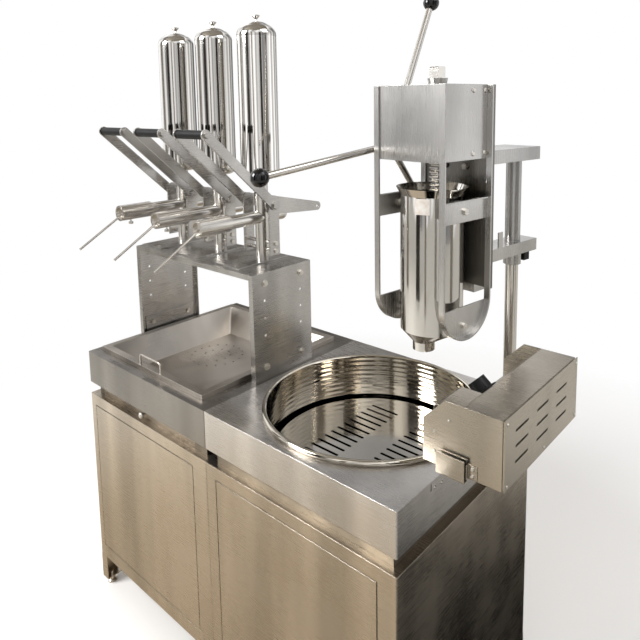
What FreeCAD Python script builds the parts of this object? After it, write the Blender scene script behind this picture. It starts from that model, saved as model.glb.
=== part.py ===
import FreeCAD, Part
import math
import os

# Churro station: twin cabinets carrying a sugar tray, three lever fillers, a deep fryer with its
# lift-off control head, and a swinging rack-and-pinion dough press.
# Millimetres, +X right, +Y back, +Z up. Everything is drawn from a point on the floor under the middle
# of the cabinets, then moved so that the origin is on the sole of the left cabinet's inner front foot.

# ---- Sheet, fits and fasteners ----
SHEET = 2.0                 # cabinet, plinth, worktop and head sheet
THIN_SHEET = 1.5            # doors, tray, drawer and covers
THICK_SHEET = 3.0           # bridge and brackets
FOLD_RADIUS = 3.0           # outside radius of the folded vertical corners
SEAM = 2.5                  # gap round a door
RUN_FIT = 0.05              # radial clearance of a turning or sliding fit
FREE_GAP = 0.3              # gap between pieces that pass each other
BOLT_R = 4.0                # M8 shank
SCREW_R = 2.5               # M5 shank
HEAD_RATIO = 1.86           # bolt head half-width over shank radius
HEAD_RISE = 0.7             # bolt head height over shank diameter
NUT_RATIO = 1.85            # nut half-width over shank radius
SCREW_HEAD_RATIO = 1.9      # round screw head radius over shank radius
NUT_H = 6.4

# ---- Cabinets ----
MODULE = 600.0              # width and depth of one cabinet
CABINET_BASE = 102.0
CABINET_TOP = 662.0
DOOR_W = 510.0
DOOR_BOTTOM = 146.0
DOOR_TOP = 626.0
LEFT_DOOR_INSET = 29.0      # cabinet edge to the hinge edge of the left door
RIGHT_DOOR_INSET = 50.0     # cabinet edge to the hinge edge of the right door
DOOR_DEPTH = 18.0           # folded return of the door
FRAME_RETURN = 20.0         # folded return of the door opening
PIN_R = 2.5
PIN_INSET = 10.0            # hinge axis from the door's hinge edge
PIN_DEPTH = 6.0             # hinge axis behind the door's face
PIN_REACH = 14.0            # length of pin on each side of the return
LEG_BOTTOM = 20.0
LEG_FRONT_W = 32.0
LEG_SIDE_W = 50.0
FOOT_INSET = 20.0
FOOT_PAD_R = 14.0
FOOT_STUD_R = 5.0
FOOT_STUD_RISE = 14.0
FOOT_PLATE = 3.0
FOOT_PAD_H, FOOT_NECK_Z = 5.0, 9.0
FOOT_NECK_RATIO = 0.6       # neck radius over pad radius
FOOT_NUT_H = 6.0

# ---- Plinths, worktops ----
PLINTH_H = 38.0
WORKTOP_BASE = CABINET_TOP + PLINTH_H
APRON_H = 100.0
WORKTOP_TOP = WORKTOP_BASE + APRON_H
PLINTH_INSET = 22.0
PLINTH_FRONT_INSET = 21.0
WORKTOP_RETURN = 24.0       # folded flange under the apron

# ---- Crumb drawer ----
DRAWER_CENTRE_X = -315.0
DRAWER_W = 480.0
DRAWER_H = 32.0
DRAWER_DEPTH = 460.0
KNOB_R = 9.5
KNOB_NECK_R = 4.5
KNOB_LENGTH = 20.0

# ---- Sugar tray ----
TRAY_X0, TRAY_X1 = -573.0, -51.0
TRAY_Y0, TRAY_Y1 = -268.0, 257.0
TRAY_RIM_TOP = 813.0
TRAY_FLANGE = 22.0
TRAY_FLOOR = 730.0
TRAY_WALL_DRAFT = 43.0      # how far each wall leans in from rim to floor
TRAY_CORNER = 4.0
TRAY_MARGIN = 3.0           # worktop opening beyond the tray's walls
DRAIN_X, DRAIN_Y = -392.0, 42.0
DRAIN_HOLE_R = 3.5
DRAIN_COUNTS = (9, 18)
DRAIN_RADII = (45.0, 86.0)
BAIL_X0, BAIL_X1 = -355.0, -250.0
BAIL_R = 3.2
BAIL_RISE = 30.0
BAIL_BEND = 8.0

# ---- Bridge over the tray ----
BRIDGE_X0, BRIDGE_X1 = -591.0, -8.0
BRIDGE_Y0, BRIDGE_Y1 = -119.0, 107.0
BRIDGE_TOP = 1109.0
BRIDGE_LIP = 15.0
BRIDGE_FLANGE = 17.0
BRIDGE_END_FLANGE = 44.0
ANGLE_RISE = 60.0
ANGLE_FOOT = 14.0
ANGLE_HALF_LENGTH = 95.0
BRIDGE_BOLT_SPREAD = 70.0   # bolt columns each side of the bridge's middle
BRIDGE_HOLE_PITCH = 50.0
BRIDGE_BOLT_DROP = 29.0     # top bolts below the bridge's top
ANGLE_BOLT_RISE = 38.0      # angle bolts above the worktop
WASHER_R, WASHER_THICK = 10.0, 1.6

# ---- Lever fillers ----
FILLER_XS = (-496.0, -300.0, -104.0)
FILLER_Y = 6.0
BASE_THICK = 4.0
BASE_LEFT, BASE_RIGHT = 88.0, 17.0
BASE_FRONT, BASE_BACK = 107.0, 88.0
BASE_BOLT_X = -8.0
BASE_BOLT_INSET = 14.0
POST_R = 20.0
POST_WALL = 2.0
TUBE_Z = 1244.0
TUBE_R = 19.0
TUBE_WALL = 2.0
FEED_R = 12.0               # hole from the upper post into the tube
TUBE_FRONT, TUBE_BACK = -224.0, 84.0
SLEEVE_R = 24.0
SLEEVE_LENGTH = 104.0
PLUG_RECESS = 8.0
PLUG_THICK = 5.0
SPOUT_R = 3.25
SPOUT_REACH = 141.0
SPOUT_DROP = 85.0
TOP_SCREW_RATIO = 0.85      # place of the screw on top, along the sleeve
TOP_SCREW_SINK = 1.0        # depth of the flat under its head
THUMB_R = 7.0
THUMB_HEAD = 6.0
THUMB_DROP = 7.0
THUMB_RATIO = 0.35          # place of the thumb screw underneath, along the sleeve
CHEEK_INNER = 52.5
CHEEK_THICK = 5.0
CHEEK_W = 38.0
CHEEK_BOTTOM = 1138.0
PIVOT_Y, PIVOT_Z = 3.0, 1284.0
PIVOT_R = 8.0
CHEEK_HEAD = 9.0            # cheek's rounded top centre above the pivot
HOPPER_RISE = 46.0          # hopper's underside above the cheeks
HOPPER_BASE = PIVOT_Z + CHEEK_HEAD + CHEEK_W / 2 + HOPPER_RISE
SPACER_R = 5.5
SPACER_ZS = (1150.0, 1172.0)
LEVER_THICK = 5.0
LEVER_W = 28.0
GRIP_Y, GRIP_Z = -227.0, 1495.0
GRIP_R = 12.0
GRIP_ROD_R = 5.0
TAIL_TIP_Y, TAIL_TIP_Z = 190.0, 1257.0
TAIL_ROOT_R = 27.0
TAIL_TIP_R = 13.5
TAIL_HOLE_R = 5.0

# ---- Hoppers and lids ----
HOPPER_R = 55.5
HOPPER_WALL = 1.0
HOPPER_BOTTOM_R = 22.0      # rounded bottom corner
HOPPER_TOP = 1760.0
LID_HEIGHT = 43.0
LID_SHOULDER = 20.0         # how far the lid's crown stands inside its side
LID_SKIRT = 15.0
LID_KNOB_R = 10.5
LID_KNOB_NECK_R = 2.6
LID_KNOB_H = 17.0

# ---- Fryer ----
PAN_X, PAN_Y = 302.7, 3.5
PAN_R = 270.0               # inside radius
PAN_WALL = 1.5
PAN_FLOOR = 668.0
PAN_BEAD_R = 6.5
BEAD_OFFSET = 0.6             # bead's centre past the wall, in bead radii
GRID_R = 256.0
NOTCH_OVERRUN = 1.0          # notch cutter past the disc's edge
GRID_Z = 681.0
GRID_SLOT_NEAR, GRID_SLOT_FAR = 38.0, 130.0
GRID_ROWS = 14
GRID_PITCH = 26.0
GRID_SLOT_W = 8.0
NOTCH_SIDE_ROOM = 6.0       # grid notch beyond the element's risers
NOTCH_INNER_ROOM = 3.0
ELEMENT_R = 4.5
ELEMENT_HALF_GAP = 30.0
ELEMENT_REACH = 253.0       # risers from the pan's axis
ELEMENT_LOOP = 138.0
ELEMENT_SPREAD = 147.0
ELEMENT_BEND = 22.0
ELEMENT_EXIT_RISE = 25.0    # where the element leaves the head, above its floor

# ---- Control head ----
HEAD_X0, HEAD_X1 = 590.0, 765.0
HEAD_Y0, HEAD_Y1 = -195.0, 165.0
HEAD_Z0, HEAD_Z1 = 855.0, 995.0
HEAD_SLOPE = 93.0           # run and drop of the 45 degree control face
END_CHAMFER = 50.0
HOOK_INSET = 75.0           # hook plates under the head, from each end
HOOK_DROP = 14.0            # outer hook plate below the worktop's top
VENT_SLOT_L, VENT_SLOT_H = 57.0, 5.0
VENT_COLUMN_YS = (-122.5, -25.5, 74.5)
VENT_ROW_ZS = (896.0, 928.0, 959.0)
VENT_OVERHANG = 2.0
RIVET_R = 1.7
RIVET_OFFSETS = ((59.0, 38.0), (27.0, 71.0), (27.0, 111.0))
COVER_SCREW_INSET = 9.0
COVER_GAP = 4.0             # open joint between the case and the vent cover
COVER_FOLD = 16.0           # vent cover's folded edge standing inside the case
DIAL_SHAFT_DEPTH = 8.0
APRON_SLOT_Y, APRON_SLOT_Z = -179.0, 786.5
APRON_SLOT_H, APRON_SLOT_W = 17.0, 4.0
APRON_SCREWS = ((-165.0, 782.0), (-137.0, 779.0))
LEAD_COVER_X = 613.0
LEAD_COVER_RUN = 98.0
LEAD_COVER_DROP = 15.0
LEAD_COVER_FOLD = 8.0
DIAL_ALONG = 80.0           # dial axis below the top edge, along the control face
DIAL_Y = -8.0
DIAL_R, DIAL_H = 23.5, 26.0
DIAL_SKIRT_R, DIAL_SKIRT_H = 33.0, 3.0
DIAL_SHAFT_R = 3.0
DIAL_FLUTES = 10
FLUTE_REACH, FLUTE_R = 25.4, 3.3
CLIP_X0, CLIP_X1 = 627.0, 690.0
CLIP_Z0, CLIP_Z1 = 848.0, 892.0
CLIP_REACH = 12.0
LATCH_X0, LATCH_X1 = 692.0, 712.0
LATCH_Z0, LATCH_Z1 = 857.0, 885.0
LATCH_REACH = 9.0
LATCH_SCREW_INSET = 7.0

# ---- Dough press, about the axis of its post ----
POST_X, POST_Y = 560.0, 260.0
PRESS_TURN = -8.3           # degrees, parked a little towards the fryer
PRESS_POST_R = 16.0
PRESS_FLANGE = 70.0
PRESS_FLANGE_THICK = 6.0
FLANGE_BOLT_INSET = 12.0
SLEEVE_OUTER_R = 19.0
ARM_END_Y = -157.0          # front end of both arms
UPPER_ARM_HALF, UPPER_ARM_BACK = 51.3, 33.4
UPPER_ARM_Z0, UPPER_ARM_Z1 = 1428.6, 1459.9
LOWER_ARM_HALF, LOWER_ARM_BACK = 30.0, 63.5
LOWER_ARM_Z0, LOWER_ARM_Z1 = 1191.0, 1221.0
ARM_WALL = 3.0
COLLAR_R = 22.0
COLLAR_DROP = 30.0
MEMBER_DEPTH = 69.0
MEMBER_Z0 = 1144.0
TAB_Y0, TAB_Y1, TAB_RISE = -103.0, -86.0, 38.0
BACK_THICK = 6.0
FRAME_HALF = 99.6           # outside faces of the side frames
FRAME_BAR_W = 14.0
FRAME_BAR_THICK = 4.0
FRAME_R = 79.0              # outside radius of the U bend
FRAME_BEND_Z = 1149.0
FRAME_TOP = 1606.0
BACK_Z0 = 1165.0
WEB_TOP = 1140.0            # plate filling the bottom of each U
WEB_THICK = 3.0
UPPER_PLATE_Z0, UPPER_PLATE_Z1 = 1322.0, 1369.0
UPPER_PLATE_LIP = 10.0
UPPER_BOLT_Z = 1344.0
WEB_BOLT_Z = 1098.0
BOSS_R = 9.0
COVER_Z0, COVER_Z1 = 1450.3, 1606.6
COVER_LIP = 12.0
COVER_SCREW_R = 3.0
COVER_SCREW_RISE = 12.6
COVER_SCREW_SETBACKS = (51.0, 11.0)
MOUTH_R = 17.5              # flared mouth round the rack, on top of the cover
MOUTH_RISE = 15.0
MOUTH_FLARE = 3.0
BACK_BOLT_HALF = 28.0
CYL_R = 69.3
CYL_WALL = 2.0
CYL_SETBACK = 9.7           # gap between cylinder and back plate
CYL_Z0, CYL_Z1 = 1072.8, 1389.6
CYL_FLARE_R, CYL_FLARE_H = 78.5, 17.0
NOZZLE_R, NOZZLE_WALL = 24.5, 3.0
NOZZLE_SHIFT = 25.4         # nozzle axis in front of the cylinder axis
NOZZLE_Z0, NOZZLE_Z1 = 1029.2, 1047.9
DIE_THICK, DIE_POINTS = 4.0, 8
DIE_TIP_R, DIE_ROOT_R = 10.0, 5.5

# ---- Rack, pinion and wheel ----
RACK_PITCH = 10.0
PINION_TEETH = 8
PRESSURE_ANGLE = 25.0
RACK_ADDENDUM = 2.2
TIP_ROOM = 1.0              # housing beyond the tips of the teeth
PINION_ADDENDUM = 2.8
TOOTH_CLEARANCE = 0.4
BACKLASH = 0.3
RACK_HALF = 12.0
RACK_BACK_Y = -285.0
RACK_Z0, RACK_Z1 = 1254.0, 1645.8
RACK_TEETH_BELOW, RACK_TEETH_ABOVE = 11, 15
RACK_DEPTH = 20.77          # back face to pitch line
RACK_CHAMFER = 2.0
SHAFT_Z = 1474.0
SHAFT_R = 8.0
COVER_ROOM = 1.0            # cover's hole around the shaft
SHAFT_RIGHT = 58.0
SHAFT_WASHER_THICK = 4.0
PINION_HALF = 14.0
BEARING_INNER, BEARING_OUTER = 39.0, 45.0
BEARING_TOP = 1520.0
GEAR_BASE_Z, GEAR_BASE_THICK = 1452.0, 4.0
GUIDE_H = 44.0
GUIDE_DEPTH = 15.0
PISTON_H = 18.0
WHEEL_PLANE = -121.0
WHEEL_RADIUS = 360.0
WHEEL_SPOKES = 3
WHEEL_PHASE = 67.0
SPOKE_R = 7.5
BALL_R = 19.0
SPOKE_SINK = 0.6            # how far the spoke's end stands inside the ball, over its radius
HUB_R = 20.0
HUB_LEFT, HUB_RIGHT = -131.0, -86.4
LOCK_ROD_R = 5.0
LOCK_DROP = 17.5            # lock's axis below the lower arm
LOCK_BLOCK_HALF = 11.5
LOCK_BLOCK_START, LOCK_BLOCK_END = 38.0, 62.0
LOCK_ROUND = 2.0


# ---- Shape helpers ----
def vec(x, y, z):
    return FreeCAD.Vector(x, y, z)


def box(x0, x1, y0, y1, z0, z1):
    return Part.makeBox(x1 - x0, y1 - y0, z1 - z0, vec(x0, y0, z0))


def rod(radius, start, end):
    axis = end - start
    return Part.makeCylinder(radius, axis.Length, start, axis)


def pipe(outer, inner, start, end):
    return rod(outer, start, end).cut(rod(inner, start, end))


def moved(shape, by):
    shape = shape.copy()
    shape.translate(by)
    return shape


def fuse(shapes):
    return shapes[0].multiFuse(shapes[1:]).removeSplitter()


def prism(points, depth):
    """Extrude a closed outline of points by the vector depth."""
    return Part.Face(Part.makePolygon(points + points[:1])).extrude(depth)


def outline(start, steps):
    """Face in the XZ plane; a step is a point, or a (through, end) pair of points for an arc."""
    edges = []
    here = vec(start[0], 0, start[1])
    for step in steps:
        if isinstance(step[0], tuple):
            through = vec(step[0][0], 0, step[0][1])
            there = vec(step[1][0], 0, step[1][1])
            edges.append(Part.Arc(here, through, there).toShape())
        else:
            there = vec(step[0], 0, step[1])
            edges.append(Part.LineSegment(here, there).toShape())
        here = there
    edges.append(Part.LineSegment(here, vec(start[0], 0, start[1])).toShape())
    return Part.Face(Part.Wire(edges))


def turned(start, steps, x, y):
    """Revolve an outline of (radius, height) points about the vertical line through x, y."""
    solid = outline(start, steps).revolve(vec(0, 0, 0), vec(0, 0, 1), 360)
    solid.translate(vec(x, y, 0))
    return solid


def rounded_box(x0, x1, y0, y1, z0, z1, radius):
    """Box with rounded vertical edges."""
    solid = box(x0, x1, y0, y1, z0, z1)
    upright = [e for e in solid.Edges if abs(e.Vertexes[0].X - e.Vertexes[1].X) < 1e-6
               and abs(e.Vertexes[0].Y - e.Vertexes[1].Y) < 1e-6]
    return solid.makeFillet(radius, upright)


def rounded_wire(x0, x1, y0, y1, z, radius):
    solid = rounded_box(x0, x1, y0, y1, z, z + 1, radius)
    floor = min(solid.Faces, key=lambda face: face.CenterOfMass.z)
    return floor.OuterWire


def wire_form(points, bend, radius):
    """Round bar of straight runs joined by tangent bends."""
    edges = []
    here = points[0]
    for before, corner, after in zip(points, points[1:], points[2:]):
        back = (before - corner).normalize()
        ahead = (after - corner).normalize()
        half = back.getAngle(ahead) / 2
        leave = corner + back * (bend / math.tan(half))
        join = corner + ahead * (bend / math.tan(half))
        middle = (back + ahead).normalize()
        crown = corner + middle * (bend / math.sin(half) - bend)
        edges.append(Part.LineSegment(here, leave).toShape())
        edges.append(Part.Arc(leave, crown, join).toShape())
        here = join
    edges.append(Part.LineSegment(here, points[-1]).toShape())
    section = Part.Wire(Part.makeCircle(radius, points[0], points[1] - points[0]))
    return Part.Wire(edges).makePipeShell([section], True, True)


def aimed(shape, seat, axis):
    """Move a shape built along +Z so that it stands on seat and points along axis."""
    shape.Placement = FreeCAD.Placement(seat, FreeCAD.Rotation(vec(0, 0, 1), axis))
    return shape


def hexagon(across, height):
    turns = [math.radians(60 * k) for k in range(6)]
    corners_xy = [vec(across * math.cos(turn), across * math.sin(turn), 0) for turn in turns]
    return prism(corners_xy, vec(0, 0, height))


def bolt(shank, seat, axis, grip):
    """Hexagon head standing on seat, with its shank going back through the parts it holds."""
    head = hexagon(shank * HEAD_RATIO, 2 * shank * HEAD_RISE)
    return aimed(head.fuse(rod(shank, vec(0, 0, -grip), vec(0, 0, 0))), seat, axis)


def screw(shank, seat, axis, grip):
    """Round-headed screw standing on seat."""
    head = Part.makeCone(shank * SCREW_HEAD_RATIO, shank * SCREW_HEAD_RATIO * 0.63, shank)
    return aimed(head.fuse(rod(shank, vec(0, 0, -grip), vec(0, 0, 0))), seat, axis)


def fasten(spots):
    """One bolt or screw for each (maker, shank, seat, axis, grip)."""
    return [maker(shank, seat, axis, grip) for maker, shank, seat, axis, grip in spots]


def drill(spots):
    """Shank-sized cutters for the holes of the same fasteners."""
    holes = [rod(shank, seat - axis * grip, seat) for maker, shank, seat, axis, grip in spots]
    return Part.makeCompound(holes)


def slot(length, width, depth, centre, along, through):
    """Round-ended slot cutter, its length along one vector and its depth along another."""
    reach = along * ((length - width) / 2)
    middles = [centre + reach * side for side in (-1, 1)]
    ends = [rod(width / 2, middle, middle + through * depth) for middle in middles]
    across = along.cross(through) * (width / 2)
    corners = [centre - reach - across, centre + reach - across]
    corners += [centre + reach + across, centre - reach + across]
    return fuse([prism(corners, through * depth)] + ends)


X_AXIS, Y_AXIS, Z_AXIS = vec(1, 0, 0), vec(0, 1, 0), vec(0, 0, 1)
HALF = MODULE / 2
LEFT_MODULE_X, RIGHT_MODULE_X = -HALF, HALF
DATUM = vec(-FOOT_INSET, FOOT_INSET - HALF, 0)


# ---- Cabinets ----
def door_span(side):
    """X range of a door; side is -1 for the left door and 1 for the right one."""
    if side < 0:
        return -MODULE + LEFT_DOOR_INSET, -MODULE + LEFT_DOOR_INSET + DOOR_W
    return MODULE - RIGHT_DOOR_INSET - DOOR_W, MODULE - RIGHT_DOOR_INSET


def hinge_x(side):
    x0, x1 = door_span(side)
    return x0 + PIN_INSET if side < 0 else x1 - PIN_INSET


def hinge_rods(side, radius):
    """Upper and lower hinge pin of one door as plain rods."""
    x, y = hinge_x(side), -HALF + PIN_DEPTH
    upper = rod(radius, vec(x, y, DOOR_TOP - PIN_REACH), vec(x, y, DOOR_TOP + SEAM + SHEET))
    lower = rod(radius, vec(x, y, DOOR_BOTTOM - SEAM - SHEET), vec(x, y, DOOR_BOTTOM + PIN_REACH))
    return [upper, lower]


def cabinet(module_x, side):
    outer = rounded_box(module_x - HALF, module_x + HALF, -HALF, HALF, CABINET_BASE, CABINET_TOP, FOLD_RADIUS)
    inside = HALF - SHEET
    hollow = box(module_x - inside, module_x + inside, -inside, inside,
                 CABINET_BASE + SHEET, CABINET_TOP - SHEET)
    x0, x1 = door_span(side)
    back = -HALF + FRAME_RETURN
    grown = SEAM + SHEET
    returns = box(x0 - grown, x1 + grown, -HALF, back, DOOR_BOTTOM - grown, DOOR_TOP + grown)
    opening = box(x0 - SEAM, x1 + SEAM, -HALF, back, DOOR_BOTTOM - SEAM, DOOR_TOP + SEAM)
    return outer.cut(hollow).fuse(returns).cut(opening).cut(fuse(hinge_rods(side, PIN_R)))


def door(side):
    x0, x1 = door_span(side)
    panel = box(x0, x1, -HALF, -HALF + DOOR_DEPTH, DOOR_BOTTOM, DOOR_TOP)
    hollow = box(x0 + THIN_SHEET, x1 - THIN_SHEET, -HALF + THIN_SHEET, -HALF + DOOR_DEPTH,
                 DOOR_BOTTOM + THIN_SHEET, DOOR_TOP - THIN_SHEET)
    return panel.cut(hollow).cut(fuse(hinge_rods(side, PIN_R + RUN_FIT)))


def hinge_pins():
    pins = []
    for side in (-1, 1):
        pins += hinge_rods(side, PIN_R)
        x, y, z = hinge_x(side), -HALF + PIN_DEPTH, DOOR_BOTTOM - SEAM
        washer = pipe(PIN_R * 2, PIN_R, vec(x, y, z), vec(x, y, DOOR_BOTTOM - RUN_FIT))
        pins[-1] = pins[-1].fuse(washer)
    return pins


def corners():
    """(module centre, x sign, y sign) of every cabinet corner."""
    return [(m, sx, sy) for m in (LEFT_MODULE_X, RIGHT_MODULE_X) for sx in (-1, 1) for sy in (-1, 1)]


def span(a, b):
    return min(a, b), max(a, b)


def leg(module_x, sx, sy):
    """Angle-section leg under one cabinet corner, with its foot plate."""
    x, y = module_x + sx * HALF, sy * HALF
    wide, narrow = span(x, x - sx * LEG_FRONT_W), span(x, x - sx * SHEET)
    deep, shallow = span(y, y - sy * LEG_SIDE_W), span(y, y - sy * SHEET)
    front = box(*wide, *shallow, LEG_BOTTOM, CABINET_BASE)
    edge = box(*narrow, *deep, LEG_BOTTOM, CABINET_BASE)
    foot_plate = box(*wide, *deep, LEG_BOTTOM, LEG_BOTTOM + FOOT_PLATE)
    fx, fy = x - sx * FOOT_INSET, y - sy * FOOT_INSET
    stud_hole = rod(FOOT_STUD_R, vec(fx, fy, LEG_BOTTOM), vec(fx, fy, LEG_BOTTOM + FOOT_PLATE))
    return fuse([front, edge, foot_plate]).cut(stud_hole)


def levelling_foot(module_x, sx, sy):
    x, y = module_x + sx * (HALF - FOOT_INSET), sy * (HALF - FOOT_INSET)
    neck_r, nut_z, top = FOOT_PAD_R * FOOT_NECK_RATIO, LEG_BOTTOM - FOOT_NUT_H, LEG_BOTTOM + FOOT_STUD_RISE
    pad = turned((0, 0), [(FOOT_PAD_R, 0), (FOOT_PAD_R, FOOT_PAD_H), (neck_r, FOOT_NECK_Z), (neck_r, nut_z),
                          (FOOT_STUD_R, nut_z), (FOOT_STUD_R, top), (0, top)], x, y)
    nut = aimed(hexagon(FOOT_STUD_R * NUT_RATIO, FOOT_NUT_H), vec(x, y, nut_z), Z_AXIS)
    return fuse([pad, nut])


# ---- Plinths and worktops ----
def drawer_span():
    return DRAWER_CENTRE_X - DRAWER_W / 2, DRAWER_CENTRE_X + DRAWER_W / 2


def plinth(module_x):
    half, front = HALF - PLINTH_INSET, -HALF + PLINTH_FRONT_INSET
    outer = box(module_x - half, module_x + half, front, -front, CABINET_TOP, WORKTOP_BASE)
    hollow = box(module_x - half + SHEET, module_x + half - SHEET, front + SHEET, -front - SHEET,
                 CABINET_TOP, WORKTOP_BASE)
    return outer.cut(hollow)


def drawer_plinth():
    """Left plinth with the drawer's mouth and its two guide strips."""
    x0, x1 = drawer_span()
    front = -HALF + PLINTH_FRONT_INSET
    top = CABINET_TOP + DRAWER_H + 2 * FREE_GAP
    mouth = box(x0 - FREE_GAP, x1 + FREE_GAP, front, front + SHEET, CABINET_TOP, top)
    shape = plinth(LEFT_MODULE_X).cut(mouth)
    for x in (x0 - FREE_GAP - SHEET, x1 + FREE_GAP):
        guide = box(x, x + SHEET, front, front + DRAWER_DEPTH, CABINET_TOP, CABINET_TOP + DRAWER_H)
        shape = shape.fuse(guide)
    return shape


def worktop(module_x):
    """Folded worktop: top, apron all round and a return flange under the apron."""
    outer = rounded_box(module_x - HALF, module_x + HALF, -HALF, HALF, WORKTOP_BASE, WORKTOP_TOP, FOLD_RADIUS)
    inside, mouth = HALF - SHEET, HALF - WORKTOP_RETURN
    hollow = box(module_x - inside, module_x + inside, -inside, inside,
                 WORKTOP_BASE + SHEET, WORKTOP_TOP - SHEET)
    below = box(module_x - mouth, module_x + mouth, -mouth, mouth, WORKTOP_BASE, WORKTOP_BASE + SHEET)
    return outer.cut(hollow).cut(below)


def tray_mouth(grow):
    """Tray opening inside its rim, as x0, x1, y0, y1, grown on each side."""
    inset = TRAY_FLANGE - grow
    return TRAY_X0 + inset, TRAY_X1 - inset, TRAY_Y0 + inset, TRAY_Y1 - inset


def worktop_left():
    opening = rounded_box(*tray_mouth(TRAY_MARGIN), WORKTOP_TOP - SHEET, WORKTOP_TOP, TRAY_CORNER)
    return worktop(LEFT_MODULE_X).cut(opening)


def apron_screw_spots():
    return [(screw, SCREW_R, vec(MODULE, y, z), X_AXIS, SHEET) for y, z in APRON_SCREWS]


def worktop_right():
    opening = rod(PAN_R + PAN_WALL, vec(PAN_X, PAN_Y, WORKTOP_TOP - SHEET), vec(PAN_X, PAN_Y, WORKTOP_TOP))
    slot_start = vec(MODULE - SHEET, APRON_SLOT_Y, APRON_SLOT_Z)
    lead_slot = slot(APRON_SLOT_H, APRON_SLOT_W, SHEET, slot_start, Z_AXIS, X_AXIS)
    return worktop(RIGHT_MODULE_X).cut(opening).cut(lead_slot).cut(drill(apron_screw_spots()))


# ---- Crumb drawer ----
def crumb_drawer():
    x0, x1 = drawer_span()
    front, floor = -HALF + PLINTH_FRONT_INSET, CABINET_TOP + FREE_GAP
    outer = box(x0, x1, front, front + DRAWER_DEPTH, floor, floor + DRAWER_H)
    hollow = box(x0 + THIN_SHEET, x1 - THIN_SHEET, front + THIN_SHEET, front + DRAWER_DEPTH - THIN_SHEET,
                 floor + THIN_SHEET, floor + DRAWER_H)
    return outer.cut(hollow)


def drawer_knob():
    knob = turned((0, 0), [(KNOB_NECK_R, 0), (KNOB_NECK_R, KNOB_LENGTH * 0.4), (KNOB_R, KNOB_LENGTH * 0.6),
                           ((KNOB_R * 0.88, KNOB_LENGTH * 0.88), (KNOB_R * 0.5, KNOB_LENGTH)),
                           (0, KNOB_LENGTH)], 0, 0)
    seat = vec(DRAWER_CENTRE_X, -HALF + PLINTH_FRONT_INSET, CABINET_TOP + FREE_GAP + DRAWER_H / 2)
    return aimed(knob, seat, -Y_AXIS)


# ---- Sugar tray ----
def tray_funnel(wall):
    """Solid between the tray's mouth and its floor, grown by the wall thickness."""
    x0, x1, y0, y1 = tray_mouth(wall)
    mouth = rounded_wire(x0, x1, y0, y1, TRAY_RIM_TOP, TRAY_CORNER)
    lean = TRAY_WALL_DRAFT
    floor = rounded_wire(x0 + lean, x1 - lean, y0 + lean, y1 - lean, TRAY_FLOOR - wall, TRAY_CORNER)
    return Part.makeLoft([floor, mouth], True, True)


def sugar_tray():
    rim = rounded_box(TRAY_X0, TRAY_X1, TRAY_Y0, TRAY_Y1, WORKTOP_TOP, TRAY_RIM_TOP, TRAY_CORNER / 2)
    wall = THIN_SHEET
    under = rounded_box(TRAY_X0 + wall, TRAY_X1 - wall, TRAY_Y0 + wall, TRAY_Y1 - wall,
                        WORKTOP_TOP, TRAY_RIM_TOP - wall, TRAY_CORNER / 2 - wall)
    shape = rim.cut(under).fuse(tray_funnel(wall)).cut(tray_funnel(0))
    holes = [vec(DRAIN_X, DRAIN_Y, TRAY_FLOOR - wall)]
    for count, radius in zip(DRAIN_COUNTS, DRAIN_RADII):
        for k in range(count):
            turn = math.tau * k / count
            holes.append(holes[0] + vec(radius * math.cos(turn), radius * math.sin(turn), 0))
    drill = [rod(DRAIN_HOLE_R, hole, hole + Z_AXIS * wall) for hole in holes]
    y, top = TRAY_Y0 + TRAY_FLANGE / 4, TRAY_RIM_TOP + BAIL_RISE
    bail = wire_form([vec(BAIL_X0, y, TRAY_RIM_TOP - wall / 2), vec(BAIL_X0, y, top), vec(BAIL_X1, y, top),
                      vec(BAIL_X1, y, TRAY_RIM_TOP - wall / 2)], BAIL_BEND, BAIL_R)
    return shape.cut(Part.makeCompound(drill)).fuse(bail)


# ---- Bridge ----
def bridge_plate():
    """Top plate with front and rear lips, and an end flange bolted inside each leg."""
    t = THICK_SHEET
    x0, x1 = BRIDGE_X0 + t, BRIDGE_X1 - t
    parts = [box(x0, x1, BRIDGE_Y0, BRIDGE_Y1, BRIDGE_TOP - t, BRIDGE_TOP)]
    for y in (BRIDGE_Y0, BRIDGE_Y1 - t):
        parts.append(box(x0, x1, y, y + t, BRIDGE_TOP - BRIDGE_LIP, BRIDGE_TOP))
    y0, y1 = BRIDGE_Y0 + 2 * t, BRIDGE_Y1 - 2 * t
    for x in (x0, x1 - t):
        parts.append(box(x, x + t, y0, y1, BRIDGE_TOP - BRIDGE_END_FLANGE, BRIDGE_TOP))
    return fuse(parts).cut(Part.makeCompound(bridge_bolt_shanks()))


def bridge_middle_y():
    return (BRIDGE_Y0 + BRIDGE_Y1) / 2


def bridge_bolt_spots():
    """(y, z) of the bolts that hold each leg, upper pair then lower pair."""
    ys = (bridge_middle_y() - BRIDGE_BOLT_SPREAD, bridge_middle_y() + BRIDGE_BOLT_SPREAD)
    return [(y, z) for z in (BRIDGE_TOP - BRIDGE_BOLT_DROP, WORKTOP_TOP + ANGLE_BOLT_RISE) for y in ys]


def bridge_bolt_shanks():
    shanks = []
    for y, z in bridge_bolt_spots():
        for x in (BRIDGE_X0, BRIDGE_X1 - 2 * THICK_SHEET):
            shanks.append(rod(BOLT_R, vec(x, y, z), vec(x + 2 * THICK_SHEET, y, z)))
    return shanks


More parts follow.
